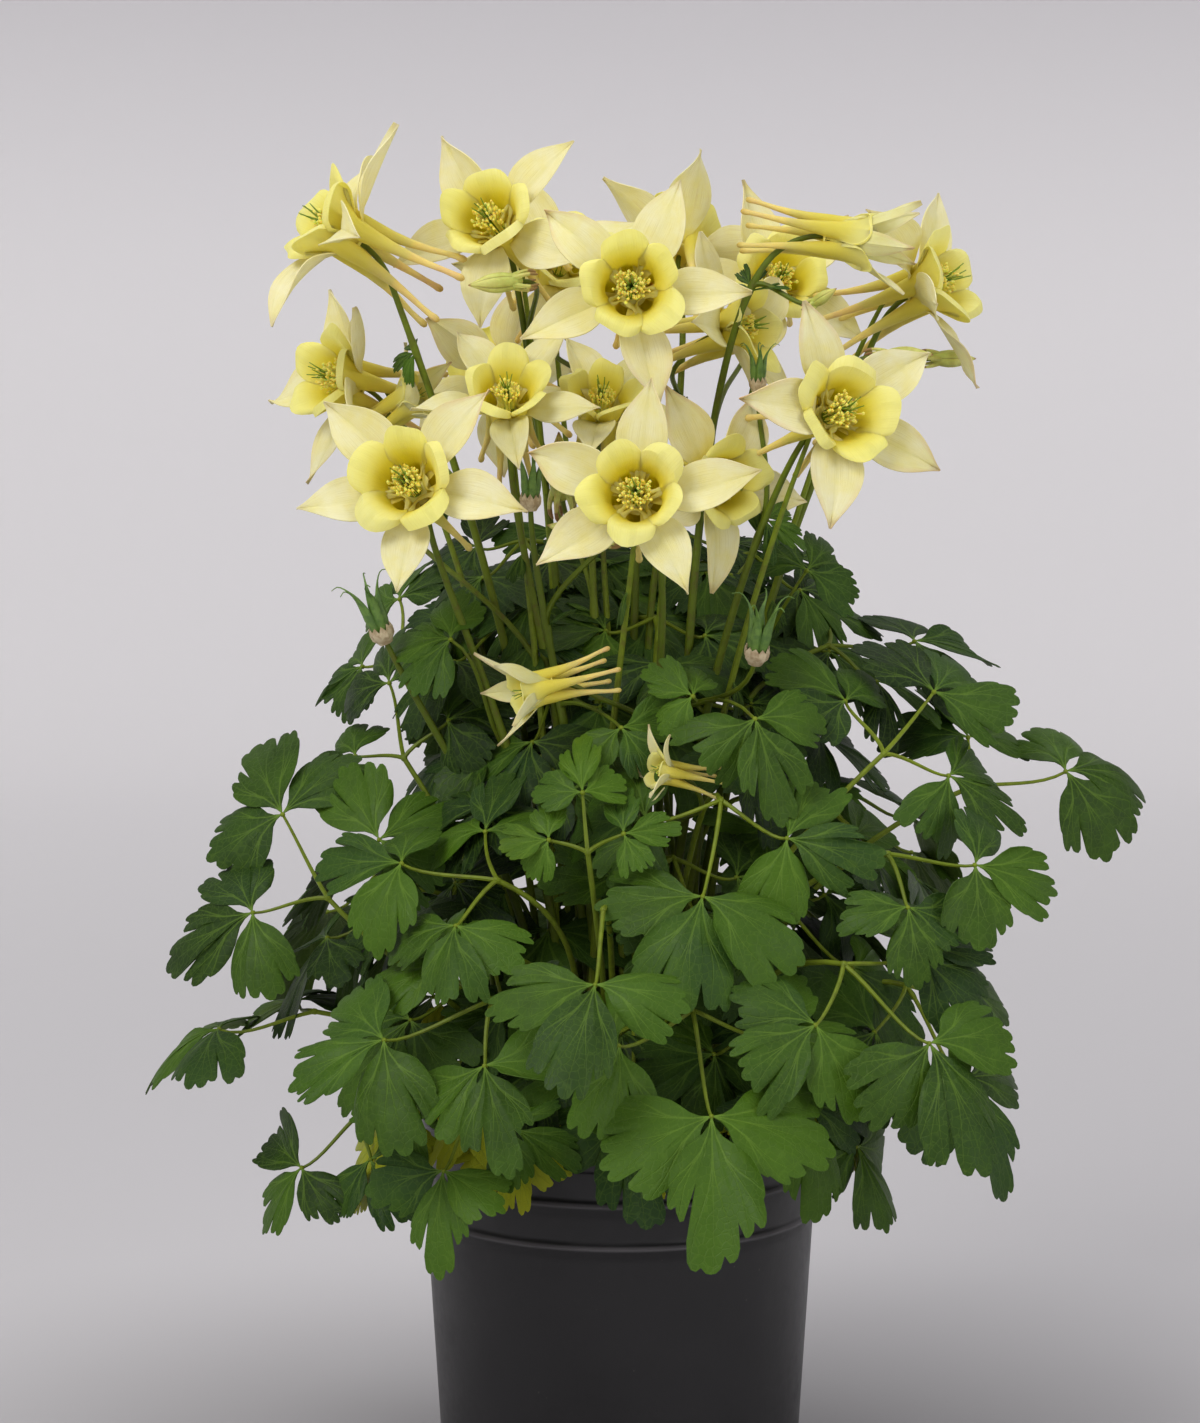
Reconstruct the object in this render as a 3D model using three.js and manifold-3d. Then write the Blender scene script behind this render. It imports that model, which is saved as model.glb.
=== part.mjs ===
// A yellow long-spurred columbine in a black nursery pot, in millimetres, +Z up.
// The origin is the middle of the pot's flat base, and -Y is the side the plant shows best.
// Every leaf, flowering stem and bloom is one closed solid of its own. Stems and leaf stalks
// stand in plain holes in the soil, and each bloom sits just clear of its stalk's tip.
import * as THREE from "three";
import { mergeVertices } from "three/addons/utils/BufferGeometryUtils.js";
import Module from "manifold-3d";

const wasm = await Module();
wasm.setup();

// ---------------------------------------------------------------- driving dimensions
const GAP = 0.3; // clearance wherever two solids meet
const POT = {
  height: 165,
  rimRadius: 82.5,
  bodyRadius: 80.2, // just below the rim
  footRadius: 73,
  wall: 1.6,
  floor: 3,
  band: 7, // height of the rolled rim
  rings: [38, 21], // depth of the two moulded rings below the rim
  ringHalf: 4.2,
  ringProud: 1.3,
  sides: 24,
  drains: 4,
  drainRadius: 6,
  drainReach: 48, // distance of the drain holes from the axis
};
const SOIL = { top: 152, dome: 3, holeDepth: 12 };
const BLADE = 0.8; // thickness of a leaflet
const PETAL = 0.8; // thickness of a petal or sepal
// A leaf's stalk: its radii, how much of its height rises straight, and how it comes to its fork.
const STALK = {
  foot: 1.8,
  fork: 1.3,
  steps: 5,
  lift: 0.45,
  leastLift: 12,
  bend: 0.35,
  out: 0.8,
  up: 0.6,
  sunk: SOIL.holeDepth - GAP, // depth of its foot in the soil
};
// An inner leaf's stalk starts inside an outer one's, and leaves it low down.
const INNER_STALK = { ...STALK, foot: 0.8, steps: 3, lift: 0.15, sunk: 4 };
// Stalks of low leaves leave the soil furthest from the middle (fork heights, and foot radii).
const CROWN = { heights: [175, 365], radii: [52, 32] };
// A flowering stem: its radii, the share that rises straight, and how far its last bend reaches.
const STEM = { foot: 2.4, head: 1.3, branch: 1.4, steps: 6, lift: 0.5, bend: 40, sunk: STALK.sunk };
const BRANCH = { steps: 3, leave: 0.4, arrive: 0.35 };
// A full bloom's sizes; a smaller one is scaled by its sepals.
const BLOOM = {
  sepal: 44,
  hub: 5,
  receptacle: 3,
  throat: { radius: 9.5, shut: 6, depth: 6 },
  lip: { radius: 17, depth: 13, half: 32, swell: 3.5, shut: 0.35 },
  // A sepal's edges at two places along it: the share of its length, half width and cupping.
  near: { share: 0.36, half: 10.5, cup: 1.2 },
  far: { share: 0.7, half: 8 },
  droop: 2, // of a sepal's tip
  lean: { shut: 12, open: 84 }, // of the sepals from the flower's axis
  narrow: 0.45, // width of a sepal in a flower that is shut
  spur: { reach: 46, flare: 8, knee: 8, width: 0.6 },
  stamens: { radius: 4.5, depth: 13 },
  styles: 16,
  neck: 8, // length of stalk that runs straight up to the flower
  exit: { depth: 22, radius: 9, slant: 0.9 }, // where the stalk passes out between two spurs
};
const BUD = { length: 20, radius: 4.6 };
const SEED = { length: 24, spread: 5 };

// ---------------------------------------------------------------- the plant's plan
// Leaves: where the stalk forks (x, y, z), which way the upper face looks (turned from the front
// towards +X, and raised), the clock angle of the middle spray seen from that side, leaflet
// length, and which of the three sprays the leaf carries (-1 right, 0 middle, 1 left).
const ALL = [-1, 0, 1];
const LEAVES = {
  leaf_left_long: { fork: [-116, -66, 265], face: [-22, 40], clock: 130, size: 48, sprays: ALL },
  leaf_left_upper: { fork: [-88, -22, 316], face: [-30, 30], clock: 115, size: 36, sprays: ALL },
  leaf_left_top: { fork: [-92, 26, 352], face: [-50, 40], clock: 125, size: 36, sprays: ALL },
  leaf_left_edge: { fork: [-124, -35, 214], face: [-70, 70], clock: 245, size: 42, sprays: [0, -1] },
  leaf_front_left: { fork: [-49, -123, 234], face: [-22, 45], clock: 215, size: 46, sprays: ALL },
  leaf_mid_left: { fork: [-48, -95, 276], face: [-10, 48], clock: 175, size: 40, sprays: ALL },
  leaf_left_hanging: { fork: [-104, -52, 176], face: [-40, 30], clock: 240, size: 34, sprays: [0, 1] },
  leaf_rim_left: { fork: [-58, -96, 190], face: [-20, 35], clock: 265, size: 34, sprays: ALL },
  leaf_front_low: { fork: [27, -122, 230], face: [8, 38], clock: 272, size: 50, sprays: ALL },
  leaf_front_middle: { fork: [-7, -118, 268], face: [-5, 50], clock: 270, size: 44, sprays: [0] },
  leaf_front_young: { fork: [-13, -104, 288], face: [0, 26], clock: 95, size: 24, sprays: ALL },
  leaf_right_long: { fork: [142, -30, 305], face: [25, 50], clock: 2, size: 46, sprays: [0, 1] },
  leaf_right_upper: { fork: [104, -62, 322], face: [25, 42], clock: 40, size: 42, sprays: ALL },
  leaf_centre: { fork: [39, -84, 306], face: [-4, 32], clock: 262, size: 46, sprays: ALL },
  leaf_mid_right: { fork: [103, -92, 286], face: [16, 35], clock: 345, size: 36, sprays: [0, -1] },
  leaf_front_right: { fork: [85, -112, 246], face: [20, 40], clock: 300, size: 48, sprays: ALL },
  leaf_right_hanging: { fork: [114, -54, 228], face: [40, 30], clock: 280, size: 46, sprays: ALL },
  leaf_rim_right: { fork: [76, -62, 194], face: [45, 30], clock: 275, size: 36, sprays: [0, 1] },
  leaf_right_top: { fork: [86, 4, 360], face: [35, 60], clock: 350, size: 42, sprays: ALL },
  leaf_back_left: { fork: [-95, 75, 265], face: [-125, 45], clock: 280, size: 48, sprays: ALL },
  leaf_back_upper: { fork: [-30, 90, 320], face: [-170, 50], clock: 285, size: 44, sprays: ALL },
  leaf_back_middle: { fork: [10, 122, 240], face: [175, 40], clock: 270, size: 48, sprays: ALL },
  leaf_back_right: { fork: [100, 82, 290], face: [130, 45], clock: 265, size: 48, sprays: ALL },
  leaf_back_low: { fork: [75, 92, 195], face: [140, 35], clock: 275, size: 44, sprays: [0, -1] },
};

// Inner leaves fill the clump behind the outer ones. Each grows from the foot of an outer leaf,
// in whose solid it is, and carries one spray of plain leaflets.
const INNER = {
  leaf_front_low: { fork: [5, -72, 215], face: [0, 40], clock: 270, size: 44 },
  leaf_mid_left: { fork: [-50, -59, 240], face: [-34, 43], clock: 240, size: 44 },
  leaf_left_top: { fork: [-64, 16, 262], face: [-95, 40], clock: 265, size: 44 },
  leaf_back_left: { fork: [-55, 61, 215], face: [-139, 39], clock: 270, size: 44 },
  leaf_back_upper: { fork: [15, 77, 288], face: [170, 50], clock: 300, size: 44 },
  leaf_back_middle: { fork: [-20, 81, 215], face: [-169, 40], clock: 265, size: 44 },
  leaf_back_right: { fork: [72, 39, 249], face: [120, 49], clock: 280, size: 44 },
  leaf_right_upper: { fork: [62, -44, 262], face: [45, 40], clock: 290, size: 44 },
  leaf_right_long: { fork: [89, -10, 291], face: [87, 44], clock: 280, size: 44 },
};

// Blooms: the middle of the flower (x, y, z), the way it faces (turned from the front towards
// +X, and raised), its roll, sepal length and how far it has opened (0 bud, 1 full).
const BLOOMS = {
  bloom_01: { at: [-81, -75, 427], face: [-14, 18], roll: 20, size: 44, open: 1 },
  bloom_02: { at: [6, -95, 424], face: [-4, 14], roll: 46, size: 43, open: 1 },
  bloom_03: { at: [82, -67, 455], face: [24, 12], roll: 0, size: 44, open: 1 },
  bloom_04: { at: [4, -48, 504], face: [0, 8], roll: 30, size: 44, open: 1 },
  bloom_05: { at: [-50, -10, 530], face: [-22, 26], roll: 20, size: 42, open: 1 },
  bloom_06: { at: [-108, -36, 526], face: [-75, 30], roll: 24, size: 44, open: 1 },
  bloom_07: { at: [-111, 8, 468], face: [-55, 15], roll: 12, size: 42, open: 1 },
  bloom_08: { at: [-45, -40, 459], face: [-2, 40], roll: 20, size: 38, open: 0.85 },
  bloom_09: { at: [-8, -12, 455], face: [4, 52], roll: 6, size: 38, open: 0.85 },
  bloom_10: { at: [44, 5, 489], face: [62, 12], roll: 0, size: 40, open: 0.9 },
  bloom_11: { at: [124, 12, 506], face: [62, 22], roll: 20, size: 44, open: 1 },
  bloom_12: { at: [66, 50, 509], face: [10, 20], roll: 0, size: 42, open: 1 },
  bloom_13: { at: [26, 66, 524], face: [170, 30], roll: 0, size: 42, open: 0.9 },
  bloom_14: { at: [36, -34, 428], face: [36, 0], roll: 20, size: 40, open: 1 },
  bloom_15: { at: [-25, 44, 516], face: [12, 30], roll: 0, size: 42, open: 1 },
  bloom_16: { at: [-30, -70, 349], face: [-72, -12], roll: 10, size: 28, open: 0.4 },
  bloom_17: { at: [-90, -2, 458], face: [60, 30], roll: 10, size: 28, open: 0.35 },
  bloom_18: { at: [86, -20, 526], face: [80, -8], roll: 10, size: 36, open: 0.2 },
  bloom_19: { at: [-50, 75, 470], face: [-150, 20], roll: 0, size: 42, open: 1 },
};

// Flowering stems: where each stands in the soil, what it carries at its tip, then its side
// branches, which leave it at the share of its length given by fork. A bud or seed head gives
// its place, facing and size. Sprays are stem leaves: the share, then their root's place, facing,
// clock angle and leaflet length. Bracts, on the stem itself, give share, facing, clock, length.
const STEMS = {
  stem_01: {
    foot: [-19, -16],
    tip: { bloom: "bloom_01" },
    sprays: [{ share: 0.5, at: [-68, -44, 366], face: [-20, 35], clock: 165, size: 30 }],
  },
  stem_02: {
    foot: [-27, -5],
    tip: { head: "seed", at: [-95, -35, 366], face: [-60, 65], size: 26 },
  },
  stem_03: {
    foot: [-24, 14],
    tip: { bloom: "bloom_06" },
    side: [{ fork: 0.6, bloom: "bloom_07" }],
    bracts: [[0.84, -40, 30, 200, 18]],
  },
  stem_04: {
    foot: [-15, 3],
    tip: { bloom: "bloom_05" },
    side: [{ fork: 0.8, head: "bud", at: [-43, -36, 508], face: [-80, -5], size: 18 }],
    sprays: [{ share: 0.42, at: [-62, 20, 350], face: [-40, 35], clock: 170, size: 30 }],
  },
  stem_05: {
    foot: [-11, -4],
    tip: { bloom: "bloom_08" },
    side: [{ fork: 0.5, bloom: "bloom_17" }],
  },
  stem_06: {
    foot: [-7, -18],
    tip: { head: "seed", at: [-36, -38, 419], face: [0, 85], size: 22 },
    side: [{ fork: 0.7, head: "bud", at: [-10, -42, 408], face: [-80, 10], size: 20 }],
    sprays: [{ share: 0.56, at: [0, -70, 333], face: [-5, 35], clock: 300, size: 26 }],
  },
  stem_07: {
    foot: [2, 3],
    tip: { bloom: "bloom_04" },
    side: [{ fork: 0.72, bloom: "bloom_15" }],
    bracts: [[0.7, 20, 40, 30, 16]],
  },
  stem_08: {
    foot: [-3, -8],
    tip: { bloom: "bloom_09" },
    side: [{ fork: 0.66, head: "bud", at: [-24, -2, 425], face: [-10, 75], size: 24 }],
  },
  stem_09: {
    foot: [4, -20],
    tip: { bloom: "bloom_02" },
    side: [{ fork: 0.5, bloom: "bloom_16" }],
    sprays: [{ share: 0.58, at: [28, -76, 346], face: [0, 35], clock: 150, size: 24 }],
  },
  stem_10: {
    foot: [6, 13],
    tip: { bloom: "bloom_13" },
    side: [{ fork: 0.74, bloom: "bloom_10" }],
  },
  stem_11: {
    foot: [23, -3],
    tip: { bloom: "bloom_18" },
    side: [
      { fork: 0.6, bloom: "bloom_12" },
      { fork: 0.86, head: "bud", at: [78, -27, 500], face: [60, 30], size: 11 },
    ],
    bracts: [[0.87, -30, 30, 130, 14]],
  },
  stem_12: {
    foot: [27, 6],
    tip: { bloom: "bloom_11" },
    side: [
      { fork: 0.84, head: "bud", at: [108, -22, 478], face: [82, 4], size: 18 },
      { fork: 0.8, head: "bud", at: [132, 18, 478], face: [100, 0], size: 16 },
    ],
    sprays: [{ share: 0.42, at: [76, -14, 392], face: [25, 35], clock: 45, size: 30 }],
  },
  stem_13: {
    foot: [16, -9],
    tip: { bloom: "bloom_03" },
    side: [{ fork: 0.76, head: "seed", at: [55, -28, 466], face: [0, 85], size: 18 }],
    bracts: [[0.8, 30, 30, 330, 22]],
  },
  stem_14: {
    foot: [11, -6],
    tip: { bloom: "bloom_14" },
    side: [{ fork: 0.45, head: "seed", at: [53, -66, 360], face: [25, 70], size: 26 }],
    sprays: [{ share: 0.5, at: [52, -86, 338], face: [14, 30], clock: 285, size: 38 }],
  },
  stem_15: {
    foot: [-7, 16],
    tip: { bloom: "bloom_19" },
    sprays: [{ share: 0.5, at: [-30, 66, 370], face: [-160, 35], clock: 250, size: 32 }],
  },
};

// ---------------------------------------------------------------- directions
const vec = (x, y, z) => new THREE.Vector3(x, y, z);
const rad = THREE.MathUtils.degToRad;
const mix = THREE.MathUtils.lerp;
const UP = vec(0, 0, 1);

// A point moved along some directions: along(point, [direction, distance], ...).
function along(point, ...moves) {
  const moved = point.clone();
  for (const [direction, distance] of moves) moved.addScaledVector(direction, distance);
  return moved;
}

// A direction turned from the front (-Y) towards +X and raised above the horizon, in degrees.
function facing([turn, rise]) {
  const flat = Math.cos(rad(rise));
  return vec(Math.sin(rad(turn)) * flat, -Math.cos(rad(turn)) * flat, Math.sin(rad(rise)));
}

// The frame of a surface that looks along n: its right, its upward slope and n itself.
function frameOf(n) {
  const right = vec(-n.y, n.x, 0).normalize();
  return { right, up: n.clone().cross(right), n };
}

// The direction at a clock angle (0 right, 90 up) in a surface's frame.
function clockwise({ right, up }, angle) {
  return along(vec(0, 0, 0), [right, Math.cos(rad(angle))], [up, Math.sin(rad(angle))]);
}

// ---------------------------------------------------------------- solids
function solidOf(geometry) {
  const bare = geometry.clone();
  bare.deleteAttribute("normal");
  bare.deleteAttribute("uv");
  const { attributes, index } = mergeVertices(bare, 1e-4);
  const vertProperties = attributes.position.array;
  const triVerts = new Uint32Array(index.array);
  return new wasm.Manifold(new wasm.Mesh({ numProp: 3, vertProperties, triVerts }));
}

function geometryOf(solid) {
  const mesh = solid.getMesh();
  const geometry = new THREE.BufferGeometry();
  geometry.setAttribute("position", new THREE.BufferAttribute(mesh.vertProperties, 3));
  geometry.setIndex(new THREE.BufferAttribute(mesh.triVerts, 1));
  geometry.computeVertexNormals();
  return geometry;
}

function join(solids) {
  return solids.reduce((all, one) => all.add(one));
}

function quads(from, to, swap) {
  return from.flatMap((a, k) => {
    const j = (k + 1) % from.length;
    const [b, c, d] = [from[j], to[j], to[k]];
    return swap ? [[a, b, d], [b, c, d]] : [[a, b, c], [a, c, d]];
  });
}

// A closed surface under construction: its points, and the triangles that number them.
class Body {
  points = [];
  faces = [];

  add(points) {
    return points.map((point) => this.points.push(point) - 1);
  }

  spokes(ring) {
    const middle = ring.reduce((sum, v) => sum.add(this.points[v]), vec(0, 0, 0)).divideScalar(ring.length);
    return ring.map((v) => this.points[v].clone().sub(middle));
  }

  // Joins two rings, the second numbered alongside the first, with each quad split one way.
  wall(from, to, swap = false) {
    this.faces.push(...quads(from, to, swap));
    return to;
  }

  // Draws an open ring out to a copy of itself, scaled and turned from one direction to another.
  draw(ring, centre, scale, outward, heading) {
    const turn = new THREE.Quaternion().setFromUnitVectors(outward, heading);
    const copy = this.spokes(ring).map((spoke) => along(centre, [spoke.applyQuaternion(turn), scale]));
    return this.wall(ring, this.add(copy));
  }

  point(ring, tip) {
    const [end] = this.add([tip]);
    ring.forEach((a, k) => this.faces.push([a, ring[(k + 1) % ring.length], end]));
  }

  // Joins two open triangles that look at each other, without twisting the tube between them:
  // of the ways to match their corners and split the quads, the one that holds the most.
  bridge(ring, other) {
    const holds = (faces) =>
      faces.reduce((sum, [a, b, c]) => {
        const [p, q, r] = [a, b, c].map((v) => this.points[v].clone().sub(this.points[ring[0]]));
        return sum + p.dot(q.cross(r));
      }, 0);
    const ways = [0, 1, 2].flatMap((shift) => {
      const matched = ring.map((_, k) => other[(5 - k - shift) % 3]);
      return [false, true].map((swap) => quads(ring, matched, swap));
    });
    this.faces.push(...ways.sort((a, b) => holds(b) - holds(a))[0]);
  }

  // A thin sheet from one layer of points and triangles, both faces split alike. The triangles
  // numbered in open are left out of its under face, and their rings returned. A lid closes a
  // ring of points, rim, on one side, with points of its own numbered from rim.length. A sheet
  // that grows on another one takes its first under points from it, numbered in base. The points
  // of its hub, the first ones, are offset along axis where that is given.
  sheet(layer, triangles, thickness, { open = [], lid, base = [], axis, hub = 0 } = {}) {
    const normals = layer.map(() => vec(0, 0, 0));
    for (const [a, b, c] of triangles) {
      const face = layer[b].clone().sub(layer[a]).cross(layer[c].clone().sub(layer[a]));
      for (const v of [a, b, c]) normals[v].add(face);
    }
    normals.forEach((normal, i) => (i < hub ? normal.copy(axis) : normal.normalize()));
    const offset = (i, side) => along(layer[i], [normals[i], (side * thickness) / 2]);
    const top = this.add(layer.map((_, i) => offset(i, 1)));
    const under = [...base, ...this.add(layer.slice(base.length).map((_, i) => offset(i + base.length, -1)))];
    const edges = new Map();
    triangles.forEach(([a, b, c], i) => {
      this.faces.push([top[a], top[b], top[c]]);
      if (!open.includes(i)) this.faces.push([under[c], under[b], under[a]]);
      for (const [from, to] of [[a, b], [b, c], [c, a]]) {
        if (!edges.delete(`${to},${from}`)) edges.set(`${from},${to}`, [from, to]);
      }
    });
    const rim = new Set(lid?.rim);
    for (const [from, to] of edges.values()) {
      if (rim.has(from) && rim.has(to)) continue;
      this.faces.push([top[from], under[from], under[to]], [top[from], under[to], top[to]]);
    }
    if (lid) {
      const ids = [...lid.rim.map((v) => (lid.below ? under : top)[v]), ...this.add(lid.points)];
      for (const triangle of lid.triangles) {
        const [a, b, c] = triangle.map((v) => ids[v]);
        this.faces.push(lid.below ? [c, b, a] : [a, b, c]);
      }
    }
    return { top, under, openings: open.map((i) => triangles[i].map((v) => under[v]).reverse()) };
  }

  // A tapering stalk of few sides along a path of points, closed at its foot. The last ring,
  // whose first point is on the side that last looks to, is returned open.
  stalk(path, startRadius, endRadius, sides, last) {
    const end = path.length - 1;
    const rings = [];
    let normal = last;
    for (let i = end; i >= 0; i--) {
      const tangent = path[Math.min(i + 1, end)].clone().sub(path[Math.max(i - 1, 0)]).normalize();
      normal = along(normal, [tangent, -normal.dot(tangent)]).normalize();
      const binormal = tangent.clone().cross(normal);
      const radius = mix(startRadius, endRadius, i / end);
      const spot = (a) => along(path[i], [normal, Math.cos(a) * radius], [binormal, Math.sin(a) * radius]);
      rings[i] = this.add(Array.from({ length: sides }, (_, k) => spot((k / sides) * 2 * Math.PI)));
    }
    for (let k = 1; k < sides - 1; k++) this.faces.push([rings[0][0], rings[0][k + 1], rings[0][k]]);
    return rings.reduce((ring, next) => this.wall(ring, next));
  }

  cap(ring) {
    for (let k = 1; k < ring.length - 1; k++) this.faces.push([ring[0], ring[k], ring[k + 1]]);
  }

  solid() {
    const vertProperties = new Float32Array(this.points.flatMap((p) => [p.x, p.y, p.z]));
    const triVerts = new Uint32Array(this.faces.flat());
    return new wasm.Manifold(new wasm.Mesh({ numProp: 3, vertProperties, triVerts }));
  }
}

function tube(path, startRadius, endRadius, sides) {
  const body = new Body();
  body.cap(body.stalk(path, startRadius, endRadius, sides, vec(1, 0, 0)));
  return body.solid();
}

// A rise from a hole in the soil: straight through the soil, then a curve to its end.
const CLEAR = 1; // height above the domed soil at which the curve starts
function rise(foot, lift, approach, end, { steps, sunk }) {
  const surface = vec(foot[0], foot[1], SOIL.top + SOIL.dome + CLEAR);
  const curve = new THREE.CubicBezierCurve3(surface, along(surface, [UP, lift]), approach, end);
  const bottom = vec(foot[0], foot[1], SOIL.top - sunk);
  return { curve, path: [bottom, ...curve.getPoints(steps)] };
}

// ---------------------------------------------------------------- leaves
const LEAFLET = {
  turns: [-72, 0, 72], // of the three leaflets from the spray's heading
  halves: [38, 33, 38], // half the angle that each one fills
  lengths: [0.86, 1, 0.86],
  droop: 34, // degrees that a leaflet bends down over its length
  hub: 3,
  base: 16, // half the angle that its base takes on the hub
  rib: 0.5, // where its middle point lies
};
// A leaflet's outline from its base: rays as shares of the half angle, and how far each reaches.
const OUTLINE = {
  middle: [[-0.85, 0.88], [-0.36, 0.74], [0, 1], [0.36, 0.74], [0.85, 0.88]],
  side: [[-0.9, 0.84], [-0.25, 1], [0.15, 0.76], [0.8, 0.94]],
};
// The same for a stem's leaves and inner leaves.
const PLAIN = {
  middle: [[-0.8, 0.86], [0, 1], [0.8, 0.86]],
  side: [[-0.85, 0.84], [-0.1, 1], [0.8, 0.9]],
};
const SPRAY = { reach: 0.95, sideReach: 0.66, turn: 66, heading: 84, sideSize: 0.86, lift: 5 };
// The elbow of a spray's stalk, under its hub: its place, width and how steeply it dives.
const ELBOW = { below: 2.4, behind: 1.5, width: 0.38, dive: 1.6 };

// Points of a spray's surface, which arches down from its root.
function sprayPlace(root, heading, normal, size) {
  const left = normal.clone().cross(heading);
  const bend = rad(LEAFLET.droop) / size;
  return (turn, distance) => {
    const out = Math.sin(bend * distance) / bend;
    const down = (1 - Math.cos(bend * distance)) / bend;
    const [ahead, aside] = [Math.cos(rad(turn)) * out, Math.sin(rad(turn)) * out];
    return along(root, [heading, ahead], [left, aside], [normal, -down]);
  };
}

// A spray of three leaflets cut to the middle. It returns the open end of its short stalk.
function spray(body, root, heading, normal, size, fork, cut = OUTLINE) {
  const place = sprayPlace(root, heading, normal, size);
  const { turns, halves, lengths, hub, base } = LEAFLET;
  const layer = turns.flatMap((turn) => [place(turn - base, hub), place(turn + base, hub)]);
  const triangles = [[0, 1, 2], [0, 2, 3], [0, 3, 5], [3, 4, 5]];
  const mirrored = cut.side.map(([ray, far]) => [-ray, far]).reverse();
  turns.forEach((turn, i) => {
    const length = lengths[i] * size;
    const add = (away, share) => layer.push(place(turn + away, length * share)) - 1;
    const outline = [mirrored, cut.middle, cut.side][i];
    const rib = add(0, LEAFLET.rib);
    const rim = outline.map(([ray, far]) => add(ray * halves[i], far));
    const round = [2 * i, ...rim, 2 * i + 1, 2 * i];
    for (let k = 0; k + 1 < round.length; k++) triangles.push([rib, round[k], round[k + 1]]);
  });
  const [opening] = body.sheet(layer, triangles, BLADE, { open: [2] }).openings;
  const below = normal.clone().negate();
  const elbow = along(root, [below, ELBOW.below], [heading, -ELBOW.behind]);
  const back = fork.clone().sub(elbow).normalize();
  const dive = along(back, [below, ELBOW.dive]).normalize();
  return body.draw(opening, elbow, ELBOW.width, below, dive);
}

// Where a leaf's stalk leaves the soil.
function leafFoot([x, y, z]) {
  const radius = THREE.MathUtils.mapLinear(z, ...CROWN.heights, ...CROWN.radii);
  const length = Math.hypot(x, y);
  return [(x / length) * radius, (y / length) * radius];
}

// A leaf's stalk ends in three small faces round a point: the right, middle and left sprays'.
function leaf({ fork, face, clock, size, sprays, cut, stalk = STALK, foot = leafFoot(fork) }) {
  const at = vec(...fork);
  const frame = frameOf(facing(face));
  const middle = clockwise(frame, clock);
  const outward = vec(at.x, at.y, 0).normalize();
  const arrival = along(middle, [outward, stalk.out], [UP, stalk.up]).normalize();
  const span = at.distanceTo(vec(...foot, SOIL.top));
  const lift = Math.max(stalk.leastLift, stalk.lift * (at.z - SOIL.top));
  const { path } = rise(foot, lift, along(at, [arrival, -stalk.bend * span]), at, stalk);
  const body = new Body();
  const ring = body.stalk(path, stalk.foot, stalk.fork, 3, frame.n);
  const [tip] = body.add([along(at, [arrival, stalk.fork])]);
  [-1, 0, 1].forEach((side, k) => {
    const opening = [ring[k], ring[(k + 1) % 3], tip];
    if (!sprays.includes(side)) return body.faces.push(opening);
    const distance = size * (side === 0 ? SPRAY.reach : SPRAY.sideReach);
    const away = clockwise(frame, clock + side * SPRAY.turn);
    const heading = clockwise(frame, clock + side * SPRAY.heading);
    const root = along(at, [away, distance], [frame.n, side === 0 ? SPRAY.lift : 0]);
    const length = size * (side === 0 ? 1 : SPRAY.sideSize);
    body.bridge(opening, spray(body, root, heading, frame.n, length, at, cut));
  });
  return { solid: body.solid(), foot };
}

// A leaf with the inner leaf that shares its foot, if it has one.
function tuft(name) {
  const { solid, foot } = leaf(LEAVES[name]);
  if (!INNER[name]) return { solid, foot };
  const inner = leaf({ ...INNER[name], foot, sprays: [0], cut: PLAIN, stalk: INNER_STALK });
  return { solid: solid.add(inner.solid), foot };
}

// ---------------------------------------------------------------- blooms
// A sheet of five sepals round a hub of ten edges, with a sheet of five petals grown on it from
// the edges between them. Each petal is drawn out behind into a spur.
function bloom({ at, face, roll, size, open }) {
  const frame = frameOf(facing(face));
  const scale = size / BLOOM.sepal;
  const place = (turn, radius, depth) =>
    along(vec(...at), [clockwise(frame, turn), radius * scale], [frame.n, depth * scale]);
  const rim = Array.from({ length: 10 }, (_, i) => i);
  const hub = (depth) => rim.map((i) => place(roll - 18 + 36 * i, BLOOM.hub, depth));
  const body = new Body();

  const outer = { layer: hub(0), triangles: [] };
  const inner = { layer: hub(1), triangles: [] };
  const add = (sheet) => (turn, radius, depth) => sheet.layer.push(place(turn, radius, depth)) - 1;
  const turns = [0, 1, 2, 3, 4].map((k) => roll + 72 * k);
  turns.forEach((turn, k) => {
    sepal(turn + 36, 2 * k + 1, (2 * k + 2) % 10, open, add(outer), outer.triangles);
    petal(turn, 2 * k, 2 * k + 1, open, add(inner), inner.triangles);
  });
  const floor = { lid: receptacle(rim, place), axis: frame.n, hub: 10 };
  const low = body.sheet(outer.layer, outer.triangles, PETAL, floor);
  const base = low.top.slice(0, 10);
  const spurs = turns.map((_, k) => (k * inner.triangles.length) / 5);
  const heart = { open: spurs, lid: crown(rim, roll, place), base };
  const high = body.sheet(inner.layer, inner.triangles, PETAL, heart);
  turns.forEach((turn, k) => {
    const [a, b, c] = [2 * k, 2 * k + 1, (2 * k + 2) % 10];
    body.faces.push([low.under[a], low.under[b], low.top[b]], [low.under[a], low.top[b], low.top[a]]);
    body.faces.push([low.top[b], low.top[c], high.top[c]], [low.top[b], high.top[c], high.top[b]]);
    spur(body, high.openings[k], turn, place, frame.n, open);
  });
  return body.solid();
}

// The cup's wall: a lip of three points round one in the throat.
function petal(turn, a, b, open, add, triangles) {
  const { throat, lip } = BLOOM;
  const spread = mix(lip.shut, 1, open);
  const middle = add(turn, mix(throat.shut, throat.radius, open), throat.depth);
  const rim = [-1, 0, 1].map((side) => {
    const swell = side === 0 ? lip.swell : 0;
    return add(turn + side * lip.half, (lip.radius + swell) * spread, lip.depth + swell);
  });
  triangles.push([b, a, middle], [a, rim[0], middle], [rim[2], b, middle]);
  triangles.push([middle, rim[0], rim[1]], [middle, rim[1], rim[2]]);
}

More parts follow.
